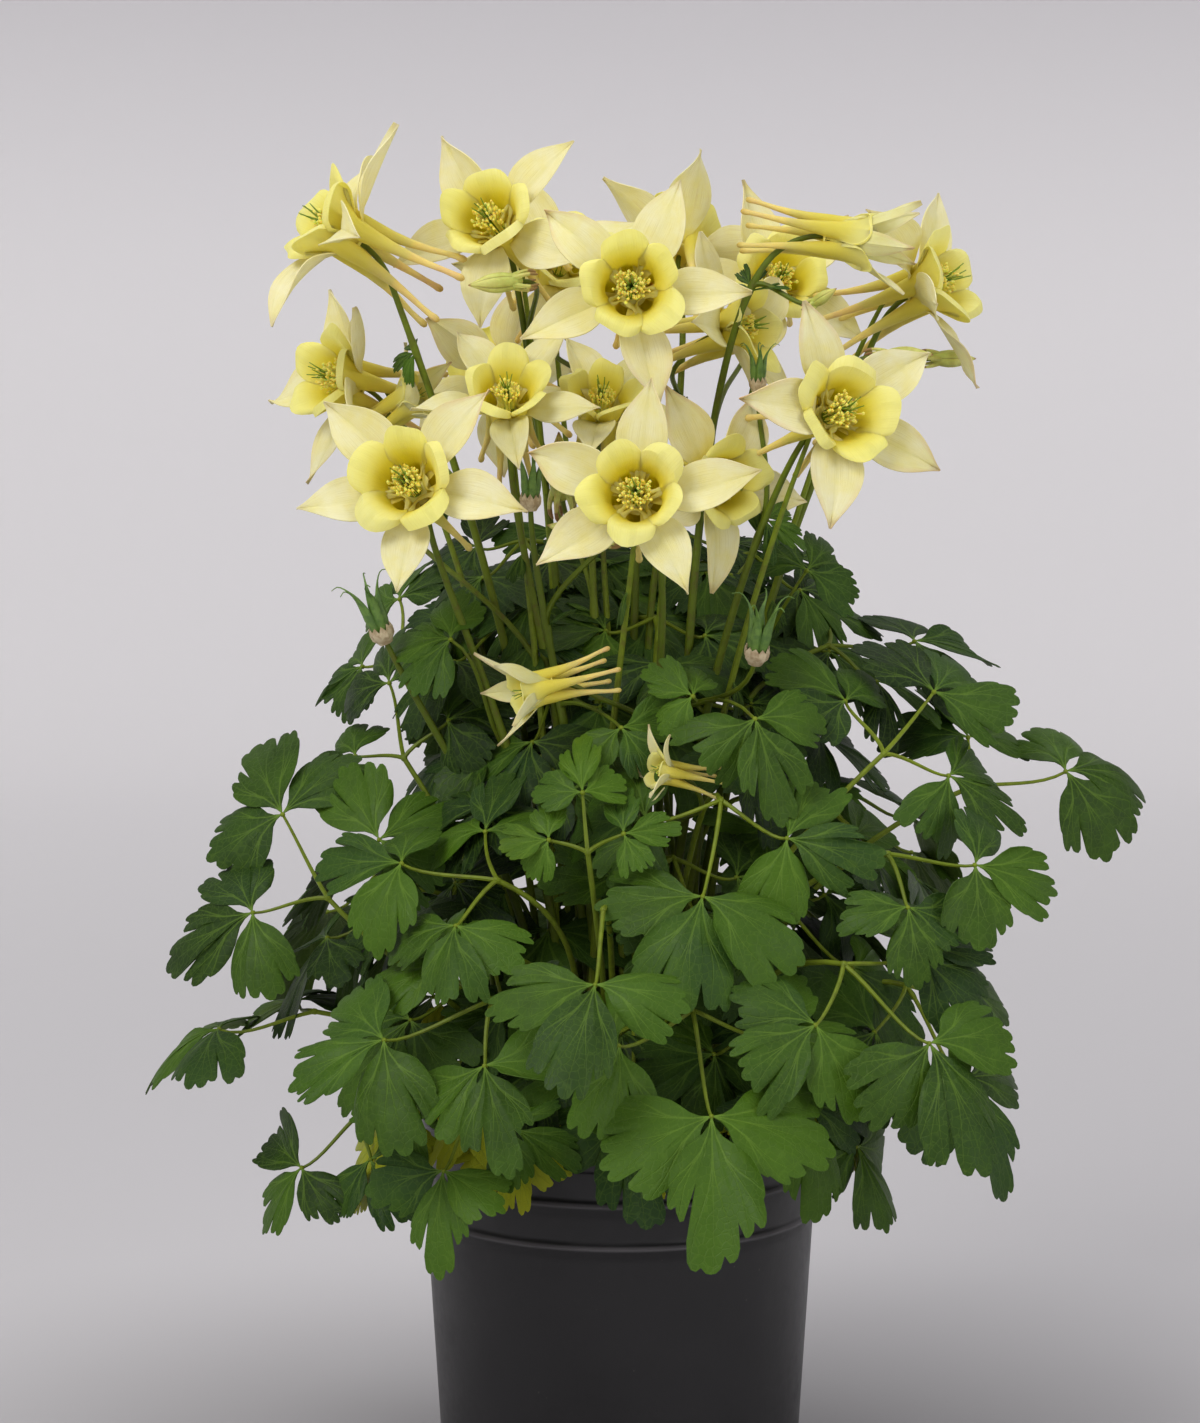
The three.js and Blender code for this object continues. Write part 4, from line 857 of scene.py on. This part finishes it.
def bloom(body, at, face, roll, size, opened, rng):
    axes = frame_of(facing(*face))
    n = axes[2]
    scale = size / BLOOM["sepal"]
    centre = vec(*at)

    def place(turn, radius, depth):
        return centre + (clockwise(axes, turn) * radius + n * depth) * scale

    for turn, between in zip(PETALS, SEPALS):
        sepal(body, centre, axes, roll + between + rng.normal(0, 5), scale, opened, rng)
        petal(body, centre, axes, roll + turn + rng.normal(0, 3), scale, opened, rng)
    # The receptacle, and the flower's heart of stamens round five styles.
    heart, behind = centre - n * 1.2 * scale, centre - n * 4.2 * scale
    body.bead(heart, n, 6.4 * scale, 3.4 * scale, PISTIL, sides=10)
    body.bead(behind, n, 2.6 * scale, 6.6 * scale, PETAL_OUTSIDE, sides=20, look=(0.6, 0, 0))
    reach = mix(0.45, 1, opened)
    for k in range(STAMENS):
        turn = k * GOLDEN + rng.normal(0, 8)
        ring = math.sqrt((k + 0.5) / STAMENS)
        top = (0.9 + 5.6 * ring * rng.uniform(0.7, 1.25)) * reach
        height = mix(15.5, 11, ring) * rng.uniform(0.78, 1.12)
        foot, tip = place(turn, 1.4 + 2.4 * ring, 0.2), place(turn, top, height)
        knee = place(turn, mix(2, top, 0.45), height * 0.6)
        path = through((0, 0.55, 1), (foot, knee, tip), np.linspace(0, 1, 4))
        body.tube(path, 0.24 * scale + 0.04, 3, FILAMENT)
        lean = unit(tip - knee + n * 2 + rng.normal(0, 1.2, 3))
        body.bead(tip, lean, rng.uniform(1.9, 2.5) * scale, 0.76 * scale, ANTHER, sides=4, rings=2)
    for between in SEPALS:
        turn = roll + between
        long = rng.uniform(19.5, 22.5)
        knots = [place(turn, 0.7, 0.5), place(turn, 1.4, 6), place(turn, 1.3, 13)]
        t = np.linspace(0, 1, 8)
        path = through((0, 0.3, 0.7, 1), [*knots, place(turn + 25, 3.1, long)], t)
        body.tube(path, np.interp(t, (0, 0.25, 0.6, 1), (0.8, 1.0, 0.55, 0.2)) * scale, 5, PISTIL)


# Share of a sepal's length, and half its width there.
SEPAL = (
    (0, 0.12, 0.25, 0.4, 0.52, 0.66, 0.8, 0.92, 1),
    (1.9, 4.0, 7.6, 10.2, 10.3, 8.6, 5.2, 1.9, 0.25),
)


def sepal(body, centre, axes, turn, scale, opened, rng):
    n = axes[2]
    e = clockwise(axes, turn)
    s = np.cross(n, e)
    rows = 17
    share = np.linspace(0, 1, rows)[:, None]
    across = np.linspace(-1, 1, 9)[None]
    length = BLOOM["sepal"] * rng.uniform(0.95, 1.03)
    half = through(*SEPAL, share)
    half = half * mix(0.45, 1, opened) * rng.uniform(0.92, 1.06)
    tilt = math.radians(mix(12, 84, opened)) + rng.normal(0, 0.14) * opened
    # The sepal leaves its base a little steeper, opens out, and its tip turns back or in.
    curl = rng.normal(-0.08, 0.42) * mix(0.5, 1, opened)
    lean = tilt + mix(-0.22, 0.1, share) * opened - curl * (share - 0.35) * 1.1
    step = length / (rows - 1)
    radius = 5 + np.concatenate([[[0]], np.cumsum(np.sin(lean[:-1]) * step, axis=0)])
    depth = np.concatenate([[[0]], np.cumsum(np.cos(lean[:-1]) * step, axis=0)])
    depth = depth - 3.4 * (1 - smooth(0, 0.2, share))  # its foot lies behind the petals
    cup = rng.uniform(0.05, 0.4) * smooth(0, 0.35, share)
    groove = rng.uniform(0.3, 1.2) * np.exp(-((across / 0.16) ** 2)) * smooth(0, 0.3, share)
    rise = half * cup * across**2 * 1.3 - groove
    wave = np.sin(share * rng.uniform(5, 9) + rng.uniform(0, 6)) * across * abs(across)
    wave = wave * rng.uniform(0.3, 1.6)
    twist = rng.normal(0, 0.42) * share
    y = across * half
    z = rise + wave * smooth(0.1, 0.5, share)
    y, z = y * np.cos(twist) - z * np.sin(twist), y * np.sin(twist) + z * np.cos(twist)
    sway = rng.normal(0, 2.8) * share**2
    up = np.stack([-np.cos(lean), np.sin(lean)])  # the upper side's direction, in e and n
    flat_e, flat_n = radius + z * up[0], depth + z * up[1]
    layer = centre + (flat_e[..., None] * e + (y + sway)[..., None] * s + flat_n[..., None] * n) * scale
    look = together(share, across, 0.0)
    own = vec(mix(0.55, 0.0, opened) + rng.uniform(0, 0.14), 0.6 * rng.uniform(0, 1) ** 2, 0)
    thick = PETAL * mix(1.2, 0.8, share) * np.ones_like(y)
    body.blade(layer, thick, (SEPAL_FACE, SEPAL_BACK), look, own)


SHOULDER = 0.55  # how far up its blade a petal is widest
HOLLOW = 6  # the row from which a spur is hollow
LIP = 3  # how far a throat's inner side lies below its outer side
SPUR = 46.2  # how far behind the bloom's middle a spur ends
MOUTH = 1.5  # how far before it the throat opens
THROAT = 4.25  # half the throat's width


def petal(body, centre, axes, turn, scale, opened, rng):
    """A spurred petal: one wall from the closed spur tip to the rim of the spoon-shaped blade."""
    n = axes[2]
    e = clockwise(axes, turn)
    w = np.cross(e, n)
    theta = around(24)
    open_out = mix(0.5, 1, opened)
    outer, inner = np.clip(np.cos(theta), 0, 1), np.clip(-np.cos(theta), 0, 1)
    # The spur's middle line and half width, from its tip to the throat.
    sway = rng.normal(0, 0.8)
    depth = vec(-SPUR, -45.6, -44.2, -42.2, -38, -31, -23, -15, -8, -3, MOUTH)
    bow = 8 + 8 * vec(1.02, 0.94, 0.5, 0.12, 0, -0.08) * open_out
    middle = through((-SPUR, -42, -30, -16, -8, MOUTH), bow, depth)
    width = vec(0.45, 1.1, 1.35, 1.1, 0.95, 1.15, 1.6, 2.3, 3.0, 3.5, 3.8)
    flat = vec(0.9, 1, 1, 1, 1, 1, 1, 0.97, 0.95, 0.9, 0.84)
    wider = np.interp(depth, (-10, MOUTH), (1, 1.12))[:, None]
    tube = np.stack([
        middle[:, None] + np.cos(theta) * (width * flat)[:, None],
        np.sin(theta) * width[:, None] * wider + sway * smooth(-8, -46, depth)[:, None],
        depth[:, None] - LIP * inner * smooth(-16, MOUTH, depth)[:, None],
    ], axis=-1)
    # The blade: the ring's outer side runs on into a round-ended spoon, and its inner side is a
    # low lip between the throat and the flower's heart.
    s = np.array([0.12, 0.26, 0.4, 0.54, 0.68, 0.8, 0.9, 0.97, 1.0])[:, None]
    knots = (0, 0.3, 0.6, 0.85, 1)
    spread, flare = mix(0.35, 1, opened), rng.uniform(0.9, 1.12)
    run = np.where(np.cos(theta) > 0, mix(SHOULDER, 1, outer**0.62), SHOULDER * (1 - inner) ** 2.2)
    reach = through(knots, (0, 1.9, 4.8, 8.6, 12.4 * flare), s) * spread * rng.uniform(0.75, 1.15)
    ahead = through(knots, (0, 6.8, 12.6, 16.2, 17.2 * rng.uniform(0.84, 1.04)), s) * mix(1.15, 1, opened)
    side = through(knots, (THROAT, 7.2, 9.3, 10.2, 9.9), s) * mix(0.72, 1, opened) * rng.uniform(0.86, 1.08)
    side = mix(side, THROAT, smooth(0, 0.5, inner))
    wave = rng.uniform(0.3, 1.1) * np.sin(3 * theta + rng.uniform(0, 6)) * s**3
    wave = wave + rng.uniform(0.1, 0.45) * np.sin(4 * theta + rng.uniform(0, 6)) * s**4
    blade = np.stack([
        middle[-1] + np.cos(theta) * width[-1] * flat[-1] * mix(1, 0.55, s) + reach * run + wave,
        np.sin(theta) * side,
        depth[-1] - LIP * inner + ahead * run + wave,
    ], axis=-1)
    ring = np.concatenate([tube, blade])
    layer = centre + (ring[..., 0, None] * e + ring[..., 1, None] * w + ring[..., 2, None] * n) * scale
    rows = len(layer)
    share = np.concatenate([np.interp(depth, (-SPUR, MOUTH), (0, 0.6)), 0.6 + 0.4 * s[:, 0]])
    look = together(share[:, None], theta / (2 * math.pi), 0.0)
    own = vec(rng.uniform(0, 0.35), rng.uniform(0.15, 0.75), 0)
    thick = np.interp(np.arange(rows), (0, 4, 12, rows - 1), (0.3, 0.4, 0.4, 0.28))[:, None]
    sides = (PETAL_OUTSIDE, PETAL_INSIDE)
    outside, inside = body.sheet(layer, thick, sides, look, own, wrap=True, start=HOLLOW)
    body.rim(outside[-1], inside[-1], PETAL_INSIDE)
    tip = centre + (middle[0] * e + sway * w - (SPUR + 0.3) * n) * scale
    body.fan(outside[0], tip, PETAL_OUTSIDE, look[0, 0], own)
    end = centre + (middle[HOLLOW] * e + (depth[HOLLOW] - 1) * n) * scale
    body.fan(inside[HOLLOW][::-1], end, PETAL_INSIDE, look[HOLLOW, 0], own)


# ---------------------------------------------------------------- flowering stems
def bud(body, at, axis, size, rng):
    scale = size / 20
    axes = frame_of(axis)
    theta = around(40)
    depth = vec(-4.6, -4.2, -3, -1, 2, 5, 8, 11, 14, 16.5, 18.5, 19.7)
    knots = (-4.6, -4.2, -3, 0, 6, 11, 14, 17, 19.7)
    radius = through(knots, (0.5, 1.5, 2.7, 3.7, 4.6, 4.0, 2.9, 1.5, 0.3), depth)
    seam = abs(np.cos(2.5 * theta))
    lobes = 1 - 0.13 * (1 - seam) ** 3 * smooth(-3, 3, depth)[:, None]
    flat = radius[:, None] * lobes
    spots = turned(flat, theta, depth[:, None]) * scale
    layer = placed(at, spots, axes)
    share = np.interp(depth, (-4.6, 19.7), (0, 1))[:, None]
    look = together(share, 1 - seam, 0.0)
    own = vec(rng.uniform(0.1, 0.7), 0, 0)
    body.closed(layer, at - axis * 4.7 * scale, at + axis * 20 * scale, BUD_SKIN, look, own)
    for turn in SEPALS:
        out = clockwise(axes, turn)
        knots = [at + (out * r + axis * d) * scale for r, d in ((2.4, 0), (4.0, -4), (4.6, -8), (3.6, -11))]
        path = through((0, 0.35, 0.7, 1), knots, np.linspace(0, 1, 7))
        body.tube(path, vec(1.5, 1.3, 1.05, 0.85, 0.75, 0.8, 0.4) * scale, 6, BUD_SKIN, PAST_FOOT, own)


def seed_head(body, at, axis, size, rng):
    scale = size / 24
    axes = frame_of(axis)
    for turn in PETALS:
        out = clockwise(axes, turn)
        over = clockwise(axes, turn + 90) * rng.normal(0, 1)
        hook = rng.uniform(0.4, 1.6)
        knots = [(0.8, -2), (2.2, 3), (3.0, 8), (3.2, 12), (4.4, 17), (6.6, 21)]
        knots += [(8 + hook, 23.4), (9.6 + hook * 2, 22.6)]
        knots = [at + (out * r + axis * d + over * (d > 18)) * scale for r, d in knots]
        t = np.linspace(0, 1, 17)
        path = through(np.linspace(0, 1, 8), knots, t)
        radii = np.interp(t, (0, 0.14, 0.3, 0.45, 0.58, 0.7, 1), (0.9, 1.7, 2.0, 1.8, 0.9, 0.35, 0.2)) * scale
        body.tube(path, radii, 7, FOLLICLE, start=out, flat=0.8)
    # The papery collar that stays round the foot of the follicles.
    cols = 20
    theta = around(cols)
    s = np.linspace(0, 1, 5)[:, None]
    high = 6.2 + 1.3 * np.where(np.arange(cols) % 2, 1, -0.6) + rng.normal(0, 0.3, cols)
    radius = mix(2.4, 4.3, smooth(0, 0.6, s)) + 0.25 * np.cos(theta * 10) * s
    spots = turned(radius, theta, -2.2 + s * high) * scale
    layer = placed(at, spots, axes)
    outer, inner = body.sheet(layer, 0.4, (DRY_COLLAR, DRY_COLLAR), wrap=True)
    body.rim(outer[-1], inner[-1], DRY_COLLAR)
    body.rim(outer[0][::-1], inner[0][::-1], DRY_COLLAR)


def ending(item):
    """The controls of a stalk's last curve, and the direction in which it is reached."""
    if isinstance(item, tuple):
        return [vec(*item[1])], facing(*item[2])
    at, face, roll, size, _ = BLOOMS[item]
    scale = size / BLOOM["sepal"]
    axes = frame_of(facing(*face))
    lowest = min((roll + turn for turn in SEPALS), key=lambda a: math.sin(math.radians(a)))
    out = clockwise(axes, lowest)
    end = vec(*at) - axes[2] * (BLOOM["receptacle"] * scale + GAP)
    neck = end - axes[2] * BLOOM["neck"] * scale
    depth, radius = BLOOM["exit"]
    leave = end - axes[2] * depth * scale + out * radius * scale
    return [leave, neck, end], unit(axes[2] - out * BLOOM["slant"])


def finish_path(path, points, arrival):
    if len(points) == 1:
        return path
    leave, neck, end = points
    bow = leave + arrival * np.linalg.norm(neck - leave) * 0.6
    return np.vstack([path, bezier(leave, bow, neck, end, 9)[1:]])


def stem(body, name, rng):
    foot, tip, side, sprays, bracts = STEMS[name]
    points, arrival = ending(tip)
    lift = STEM["lift"] * (points[0][2] - SOIL["top"])
    bottom, curve = rise(foot, lift, points[0] - arrival * STEM["bend"], points[0])
    count = 34
    path = finish_path(bezier(*curve, count), points, arrival)
    share = np.linspace(0, 1, count)
    knots = (0, count * 0.75, len(path) - 1)
    radii = np.interp(np.arange(len(path)), knots, (STEM["foot"], 1.45, STEM["head"]))
    for spot in [s[0] for s in (*side, *sprays, *bracts)]:  # a swelling where something grows
        radii[:count] *= 1 + 0.3 * np.exp(-(((share - spot) / 0.014) ** 2))
    path, radii = np.vstack([bottom, path]), np.concatenate([[STEM["foot"]], radii])
    shade = (rng.uniform(0.25, 0.7), rng.uniform(0.05, 0.5), 0)
    body.tube(path, radii, 9, STALK_SKIN, tone=shade)
    for fork, item in side:
        ends, arrive = ending(item)
        start, along = bezier_at(*curve, fork)
        span = np.linalg.norm(ends[0] - start)
        leave = start + along * BRANCH["leave"] * span
        twig = bezier(start, leave, ends[0] - arrive * BRANCH["arrive"] * span, ends[0], 16)
        twig = finish_path(twig, ends, arrive)
        thin = np.linspace(STEM["branch"], STEM["head"] * 0.92, len(twig))
        body.tube(twig, thin, 7, STALK_SKIN, PAST_FOOT, shade)
        # A small bract under each branch.
        out = unit(vec(ends[0][0] - start[0], ends[0][1] - start[1], 12))
        heading = unit(out - along * (out @ along) + along * 0.7)
        normal = unit(np.cross(heading, np.cross(along, heading)))
        leaflet(body, start, heading, normal, 0, 30, 15, MIDDLE, rng, vec(0.4, 0, 0), 3)
    for spot, (turn, lean), clock, size in bracts:
        axes = frame_of(facing(turn, lean))
        start, _ = bezier_at(*curve, spot)
        for turn in (-55, 0, 55):
            own = size * (1 if turn == 0 else 0.8)
            heading = clockwise(axes, clock)
            leaflet(body, start, heading, axes[2], turn, 24, own, MIDDLE, rng, vec(0.35, 0, 0), 4)
    for spot, at, face, clock, size in sprays:
        axes = frame_of(facing(*face))
        start, along = bezier_at(*curve, spot)
        root, heading = vec(*at), clockwise(axes, clock)
        reach = np.linalg.norm(root - start)
        arrive = root - unit(heading * 0.8 + axes[2] * 0.5) * reach * 0.3
        twig = bezier(start, start + unit(along + heading) * reach * 0.3, arrive, root - axes[2] * 0.5, 9)
        body.tube(twig, np.linspace(1.1, 0.65, 9), 6, STALK_SKIN, PAST_FOOT, shade)
        spray(body, root, heading, axes[2], size, rng, vec(0.5, 0, 0), 4)
    for item in (tip, *(s[1] for s in side)):
        if isinstance(item, tuple):
            head = bud if item[0] == "bud" else seed_head
            head(body, vec(*item[1]), facing(*item[2]), item[3], rng)


def slender_stem(body, foot, name, rng):
    at, face = BLOOMS[name][:2]
    back = facing(*face)
    end = vec(*at) - back * 17 + rng.normal(0, 1.5, 3)
    bottom, curve = rise(foot, STEM["lift"] * (end[2] - SOIL["top"]), end - unit(back + UP) * 30, end)
    path = np.vstack([bottom, bezier(*curve, 26)])
    shade = (rng.uniform(0, 0.5), rng.uniform(0.05, 0.4), 0)
    body.tube(path, np.linspace(1.8, 0.9, len(path)), 7, STALK_SKIN, tone=shade)
    spot, turn = rng.uniform(0.45, 0.75), rng.uniform(-80, 80)
    start, _ = bezier_at(*curve, spot)
    axes = frame_of(facing(turn, 40))
    leaflet(body, start, clockwise(axes, 270), axes[2], 0, 24, 17, MIDDLE, rng, vec(0.35, 0, 0), 3)


# ---------------------------------------------------------------- pot and soil
def pot_outer(z):
    return mix(POT["foot"], POT["body"], min(1, z / (POT["height"] - POT["rings"][0])))


def inner_radius(z):
    return mix(POT["foot"], POT["body"], z / POT["height"]) - POT["wall"]


def lathe(body, outline, sides):
    """A closed turned solid from an outline that runs from the axis, outside upwards, to the axis."""
    outline = np.array(outline, float)
    theta = around(sides)
    r, z = outline[1:-1, 0, None], outline[1:-1, 1, None]
    body.closed(turned(r, theta, z), vec(0, 0, outline[0, 1]), vec(0, 0, outline[-1, 1]), 0)


def rounded(corners, radius, steps):
    """The outline with its inner corners rounded off."""
    corners = [np.array(c, float) for c in corners]
    made = [corners[0]]
    for before, corner, after in zip(corners, corners[1:], corners[2:]):
        a, b = before - corner, after - corner
        cut = min(radius, np.linalg.norm(a) * 0.45, np.linalg.norm(b) * 0.45)
        start, end = corner + unit(a) * cut, corner + unit(b) * cut
        for t in np.linspace(0, 1, steps):
            made.append((1 - t) ** 2 * start + 2 * t * (1 - t) * corner + t * t * end)
    return [*made, corners[-1]]


# The corners of a step in the pot's wall: how far out from the wall, and how far up.
STEP = ((0.3, -5), (1.5, -1.2), (1.4, -0.2), (-0.5, 1.9), (-0.1, 8))


def pot():
    height, band, floor = POT["height"], POT["band"], POT["floor"]
    corners = [(0, 0), (POT["foot"] - 1.2, 0), (pot_outer(2), 2)]
    # Two steps lie under the rim, each with a shoulder that faces up.
    for depth in POT["rings"]:
        z = height - depth
        wall = pot_outer(z)
        corners += [(wall + out, z + up) for out, up in STEP]
    corners += [(POT["body"] + 0.6, height - band - 0.8), (POT["rim"], height - band), (POT["rim"], height)]
    corners += [(POT["rim"] - 2.4, height), (inner_radius(height), height - 3)]
    corners += [(inner_radius(floor), floor), (0, floor)]
    body = Body()
    lathe(body, rounded(corners, 1.6, 5), 112)
    made = body.object("nursery_pot", [pot_material()], 40)
    # Drain holes in its floor.
    cutter = Body()
    for k in range(DRAINS["count"]):
        a = (k + 0.5) / DRAINS["count"] * 2 * math.pi
        x, y = math.cos(a) * DRAINS["reach"], math.sin(a) * DRAINS["reach"]
        cutter.tube(np.array([(x, y, -2.0), (x, y, floor + 2.0)]), DRAINS["radius"], 24, 0)
    tool = cutter.object("drain_cutter", [])
    modifier = made.modifiers.new("drains", "BOOLEAN")
    modifier.operation, modifier.object, modifier.solver = "DIFFERENCE", tool, "EXACT"
    mesh = bpy.data.meshes.new_from_object(made.evaluated_get(bpy.context.evaluated_depsgraph_get()))
    made.modifiers.clear()
    made.data = mesh
    bpy.data.objects.remove(tool)
    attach(made, "root")
    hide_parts("pot")


CHIPS = 260


def soil(rng):
    """The potting mix: a body with a crumbly top, and bark chips that stand in it."""
    body = Body()
    top, dome, bottom = SOIL["top"], SOIL["dome"], POT["floor"] + GAP
    theta = around(96)
    edge = inner_radius(top) - GAP
    inwards = np.linspace(0.97, 0.02, 30)
    foot = inner_radius(bottom)
    r = np.concatenate([[foot - GAP, mix(foot, edge, 0.5), edge], edge * inwards])
    z = np.concatenate([[bottom, (bottom + top) / 2, top - 1], top + dome * (1 - inwards)])
    r, z = np.broadcast_arrays(r[:, None], z[:, None] + 0 * theta)
    z = z.copy()
    bumps = sum(
        rng.uniform(0.3, 0.8) * np.sin(r * np.cos(theta) * f + p) * np.sin(r * np.sin(theta) * g + q)
        for f, g, p, q in rng.uniform((0.1, 0.1, 0, 0), (1.1, 1.1, 6, 6), (10, 4))
    )
    z[4:] += bumps[4:] * 0.9 + rng.normal(0, 0.28, z[4:].shape)
    body.closed(turned(r, theta, z), vec(0, 0, bottom), vec(0, 0, top + dome), 0)
    for _ in range(CHIPS):
        a, reach = rng.uniform(0, 2 * math.pi), edge * math.sqrt(rng.uniform(0, 0.93))
        high = top + dome * (1 - reach / edge) + rng.uniform(-0.4, 0.8)
        spot = vec(math.cos(a) * reach, math.sin(a) * reach, high)
        size = rng.gamma(3, 0.9) + 0.8
        lean = unit(vec(*rng.normal(0, 1, 2), rng.normal(0, 0.3)))
        body.bead(spot, lean, size * 1.7, size * 0.5, 0, 5, 2, tone=(rng.uniform(0, 1) ** 3, 0, 0))
    piece(body, "potting_mix", [soil_material()], "soil", "soil", smooth_angle=30)


# ---------------------------------------------------------------- the plant
TONES = {  # how light and how yellow some leaves are
    "leaf_front_young": (0.8, 0.1),
    "leaf_mid_left": (0.6, 0),
    "leaf_front_left": (0.62, 0),
    "leaf_front_low": (0.7, 0.02),
    "leaf_rim_left": (0.8, 0.15),
    "leaf_centre": (0.5, 0),
    "leaf_front_middle": (0.5, 0),
    "leaf_left_edge": (0.3, 0.1),
    "leaf_left_upper": (0.3, 0),
    "leaf_left_top": (0.35, 0.05),
    "leaf_right_top": (0.3, 0),
}


LOW = 200  # the inner and filling leaves that fork under this height have turned yellow
SEEDS = dict(soil=5, leaf=100, stem=200, bloom=300, filling=400, slender=500)


def drawn(kind, number=0):
    return np.random.default_rng(SEEDS[kind] + number)


def inner_leaf(body, plan, foot, rng, steps):
    fork, face, clock, size = plan
    # Inner and filling leaves get a low paleness, which paints them darker as painted shade deep in the
    # clump; those that fork low have turned yellow.
    tone = vec(rng.uniform(0.0, 0.4), 0.8 if fork[2] < LOW else 0.0, 0)
    leaf(body, fork, face, clock, size, ALL, rng, tone, foot, steps)


for number, (name, plan) in enumerate(LEAVES.items()):
    rng = drawn("leaf", number)
    body = Body()
    leaf(body, *plan, rng, vec(*TONES.get(name, (0.36, 0)), 0), steps=4 if "back" in name else 5)
    if name in INNER:
        inner_leaf(body, INNER[name], leaf_foot(plan[0]), rng, 4)
    piece(body, name.replace("leaf", "fresh_leaf"), LEAF, "leaf", name)
for number, plan in enumerate(FILLING):
    rng = drawn("filling", number)
    body = Body()
    inner_leaf(body, plan, tuple(vec(*plan[0][:2]) * 0.6), rng, 4 if plan[0][1] < -40 else 3)
    piece(body, f"filling_leaf_{number + 1:02d}", LEAF, "leaf")
for number, name in enumerate(STEMS):
    rng = drawn("stem", number)
    body = Body()
    stem(body, name, rng)
    piece(body, name.replace("stem", "flowering_stem"), SHOOT, "stem", name)
body = Body()
for number, (foot, name) in enumerate(SLENDER):
    slender_stem(body, foot, name, drawn("slender", number))
piece(body, "slender_stems", LEAF, "stem")
for number, (name, plan) in enumerate(BLOOMS.items()):
    rng = drawn("bloom", number)
    body = Body()
    bloom(body, *plan, rng)
    nodes = () if name == FADING else (name,)
    piece(body, name.replace("bloom", "open_bloom"), FLOWER, "petal", *nodes)
soil(drawn("soil"))
pot()


# ---------------------------------------------------------------- stage, light and camera
def stage():
    """A pale floor that rises all round into a curved backdrop."""
    body = Body()
    floor, fillet, wall = 2600, 1200, 3600
    a = np.linspace(0, math.pi / 2, 16)
    r = np.concatenate([np.linspace(60, floor, 12), floor + fillet * np.sin(a[1:]), [floor + fillet]])
    z = np.concatenate([np.zeros(12), fillet * (1 - np.cos(a[1:])), [wall]])
    theta = around(96)
    x, y = r[:, None] * np.cos(theta), r[:, None] * np.sin(theta)
    ids = body.add(together(x, y, z[:, None]))
    body.wall(ids, 0, wrap=True)
    body.fan(ids[0], vec(0, 0, 0), 0)
    # The sweep's colour holds painted shade: grey under the plant as a painted shadow, palest on the far
    # floor, and greyer again up the wall as the light's painted falloff.
    m = Material("backdrop", Roughness=0.95, Specular_IOR_Level=0.05, Emission_Strength=0.16)
    place = m.place()
    away = m.node("VectorMath", (0, place), operation="LENGTH").outputs["Value"]
    up = m.node("SeparateXYZ", (0, place)).outputs[2]
    shadow_under_plant = m.blend(m.between(m.noise(3, 2), 0.3, 0.7), srgb(146, 144, 146), srgb(150, 148, 150))
    base = m.blend(m.between(away, 0.1, 0.5), shadow_under_plant, srgb(193, 191, 194))
    base = m.coat(base, away, (0.5, 3.2), 241, 239, 241)
    base = m.coat(base, up, (0.5, 1.6), 189, 187, 191)
    m.set("Base Color", base)
    # Painted light: the sweep glows a little in its own colour, though it is no lamp.
    m.set("Emission Color", base)
    made = body.object("studio_sweep", [m.made])


# Each lamp's place, aim, size, power and colour. Places here are in metres.
LAMPS = {
    "key": ((-1.3, -1.9, 2.1), (0, 0, 0.35), (1.4, 1.4), 46, (1, 0.985, 0.96)),
    "fill": ((1.7, -1.3, 1.1), (0, 0, 0.3), (1.2, 1.4), 12, (1, 1, 1)),
    "top": ((0, 0.3, 2.6), (0, 0, 0.3), (2.0, 2.0), 24, (1, 1, 1)),
}
SKY = dict(Color=(1.0, 0.985, 0.965, 1), Strength=0.22)
CAMERA = dict(place=(-0.00825, -1.450, 0.464), aim=(-0.00825, 0, 0.333), lens=89.3)


def aimed(made, place, aim):
    made.location = place
    made.rotation_euler = (Vector(aim) - Vector(place)).to_track_quat("-Z", "Y").to_euler()
    bpy.context.scene.collection.objects.link(made)


def area(name, place, aim, size, power, colour):
    light = bpy.data.lights.new(name, "AREA")
    light.shape, light.size, light.size_y = "RECTANGLE", *size
    light.energy, light.color = power, colour
    made = bpy.data.objects.new(name, light)
    made.visible_camera = False
    aimed(made, place, aim)


stage()
for name, plan in LAMPS.items():
    area(name, *plan)
world = bpy.data.worlds.new("studio")
world.use_nodes = True
for key, value in SKY.items():
    world.node_tree.nodes["Background"].inputs[key].default_value = value
bpy.context.scene.world = world
bpy.context.scene.view_settings.view_transform = "Standard"

camera = bpy.data.cameras.new("camera")
camera.sensor_fit, camera.sensor_width, camera.lens = "AUTO", 36, CAMERA["lens"]
viewer = bpy.data.objects.new("camera", camera)
aimed(viewer, CAMERA["place"], CAMERA["aim"])
bpy.context.scene.camera = viewer
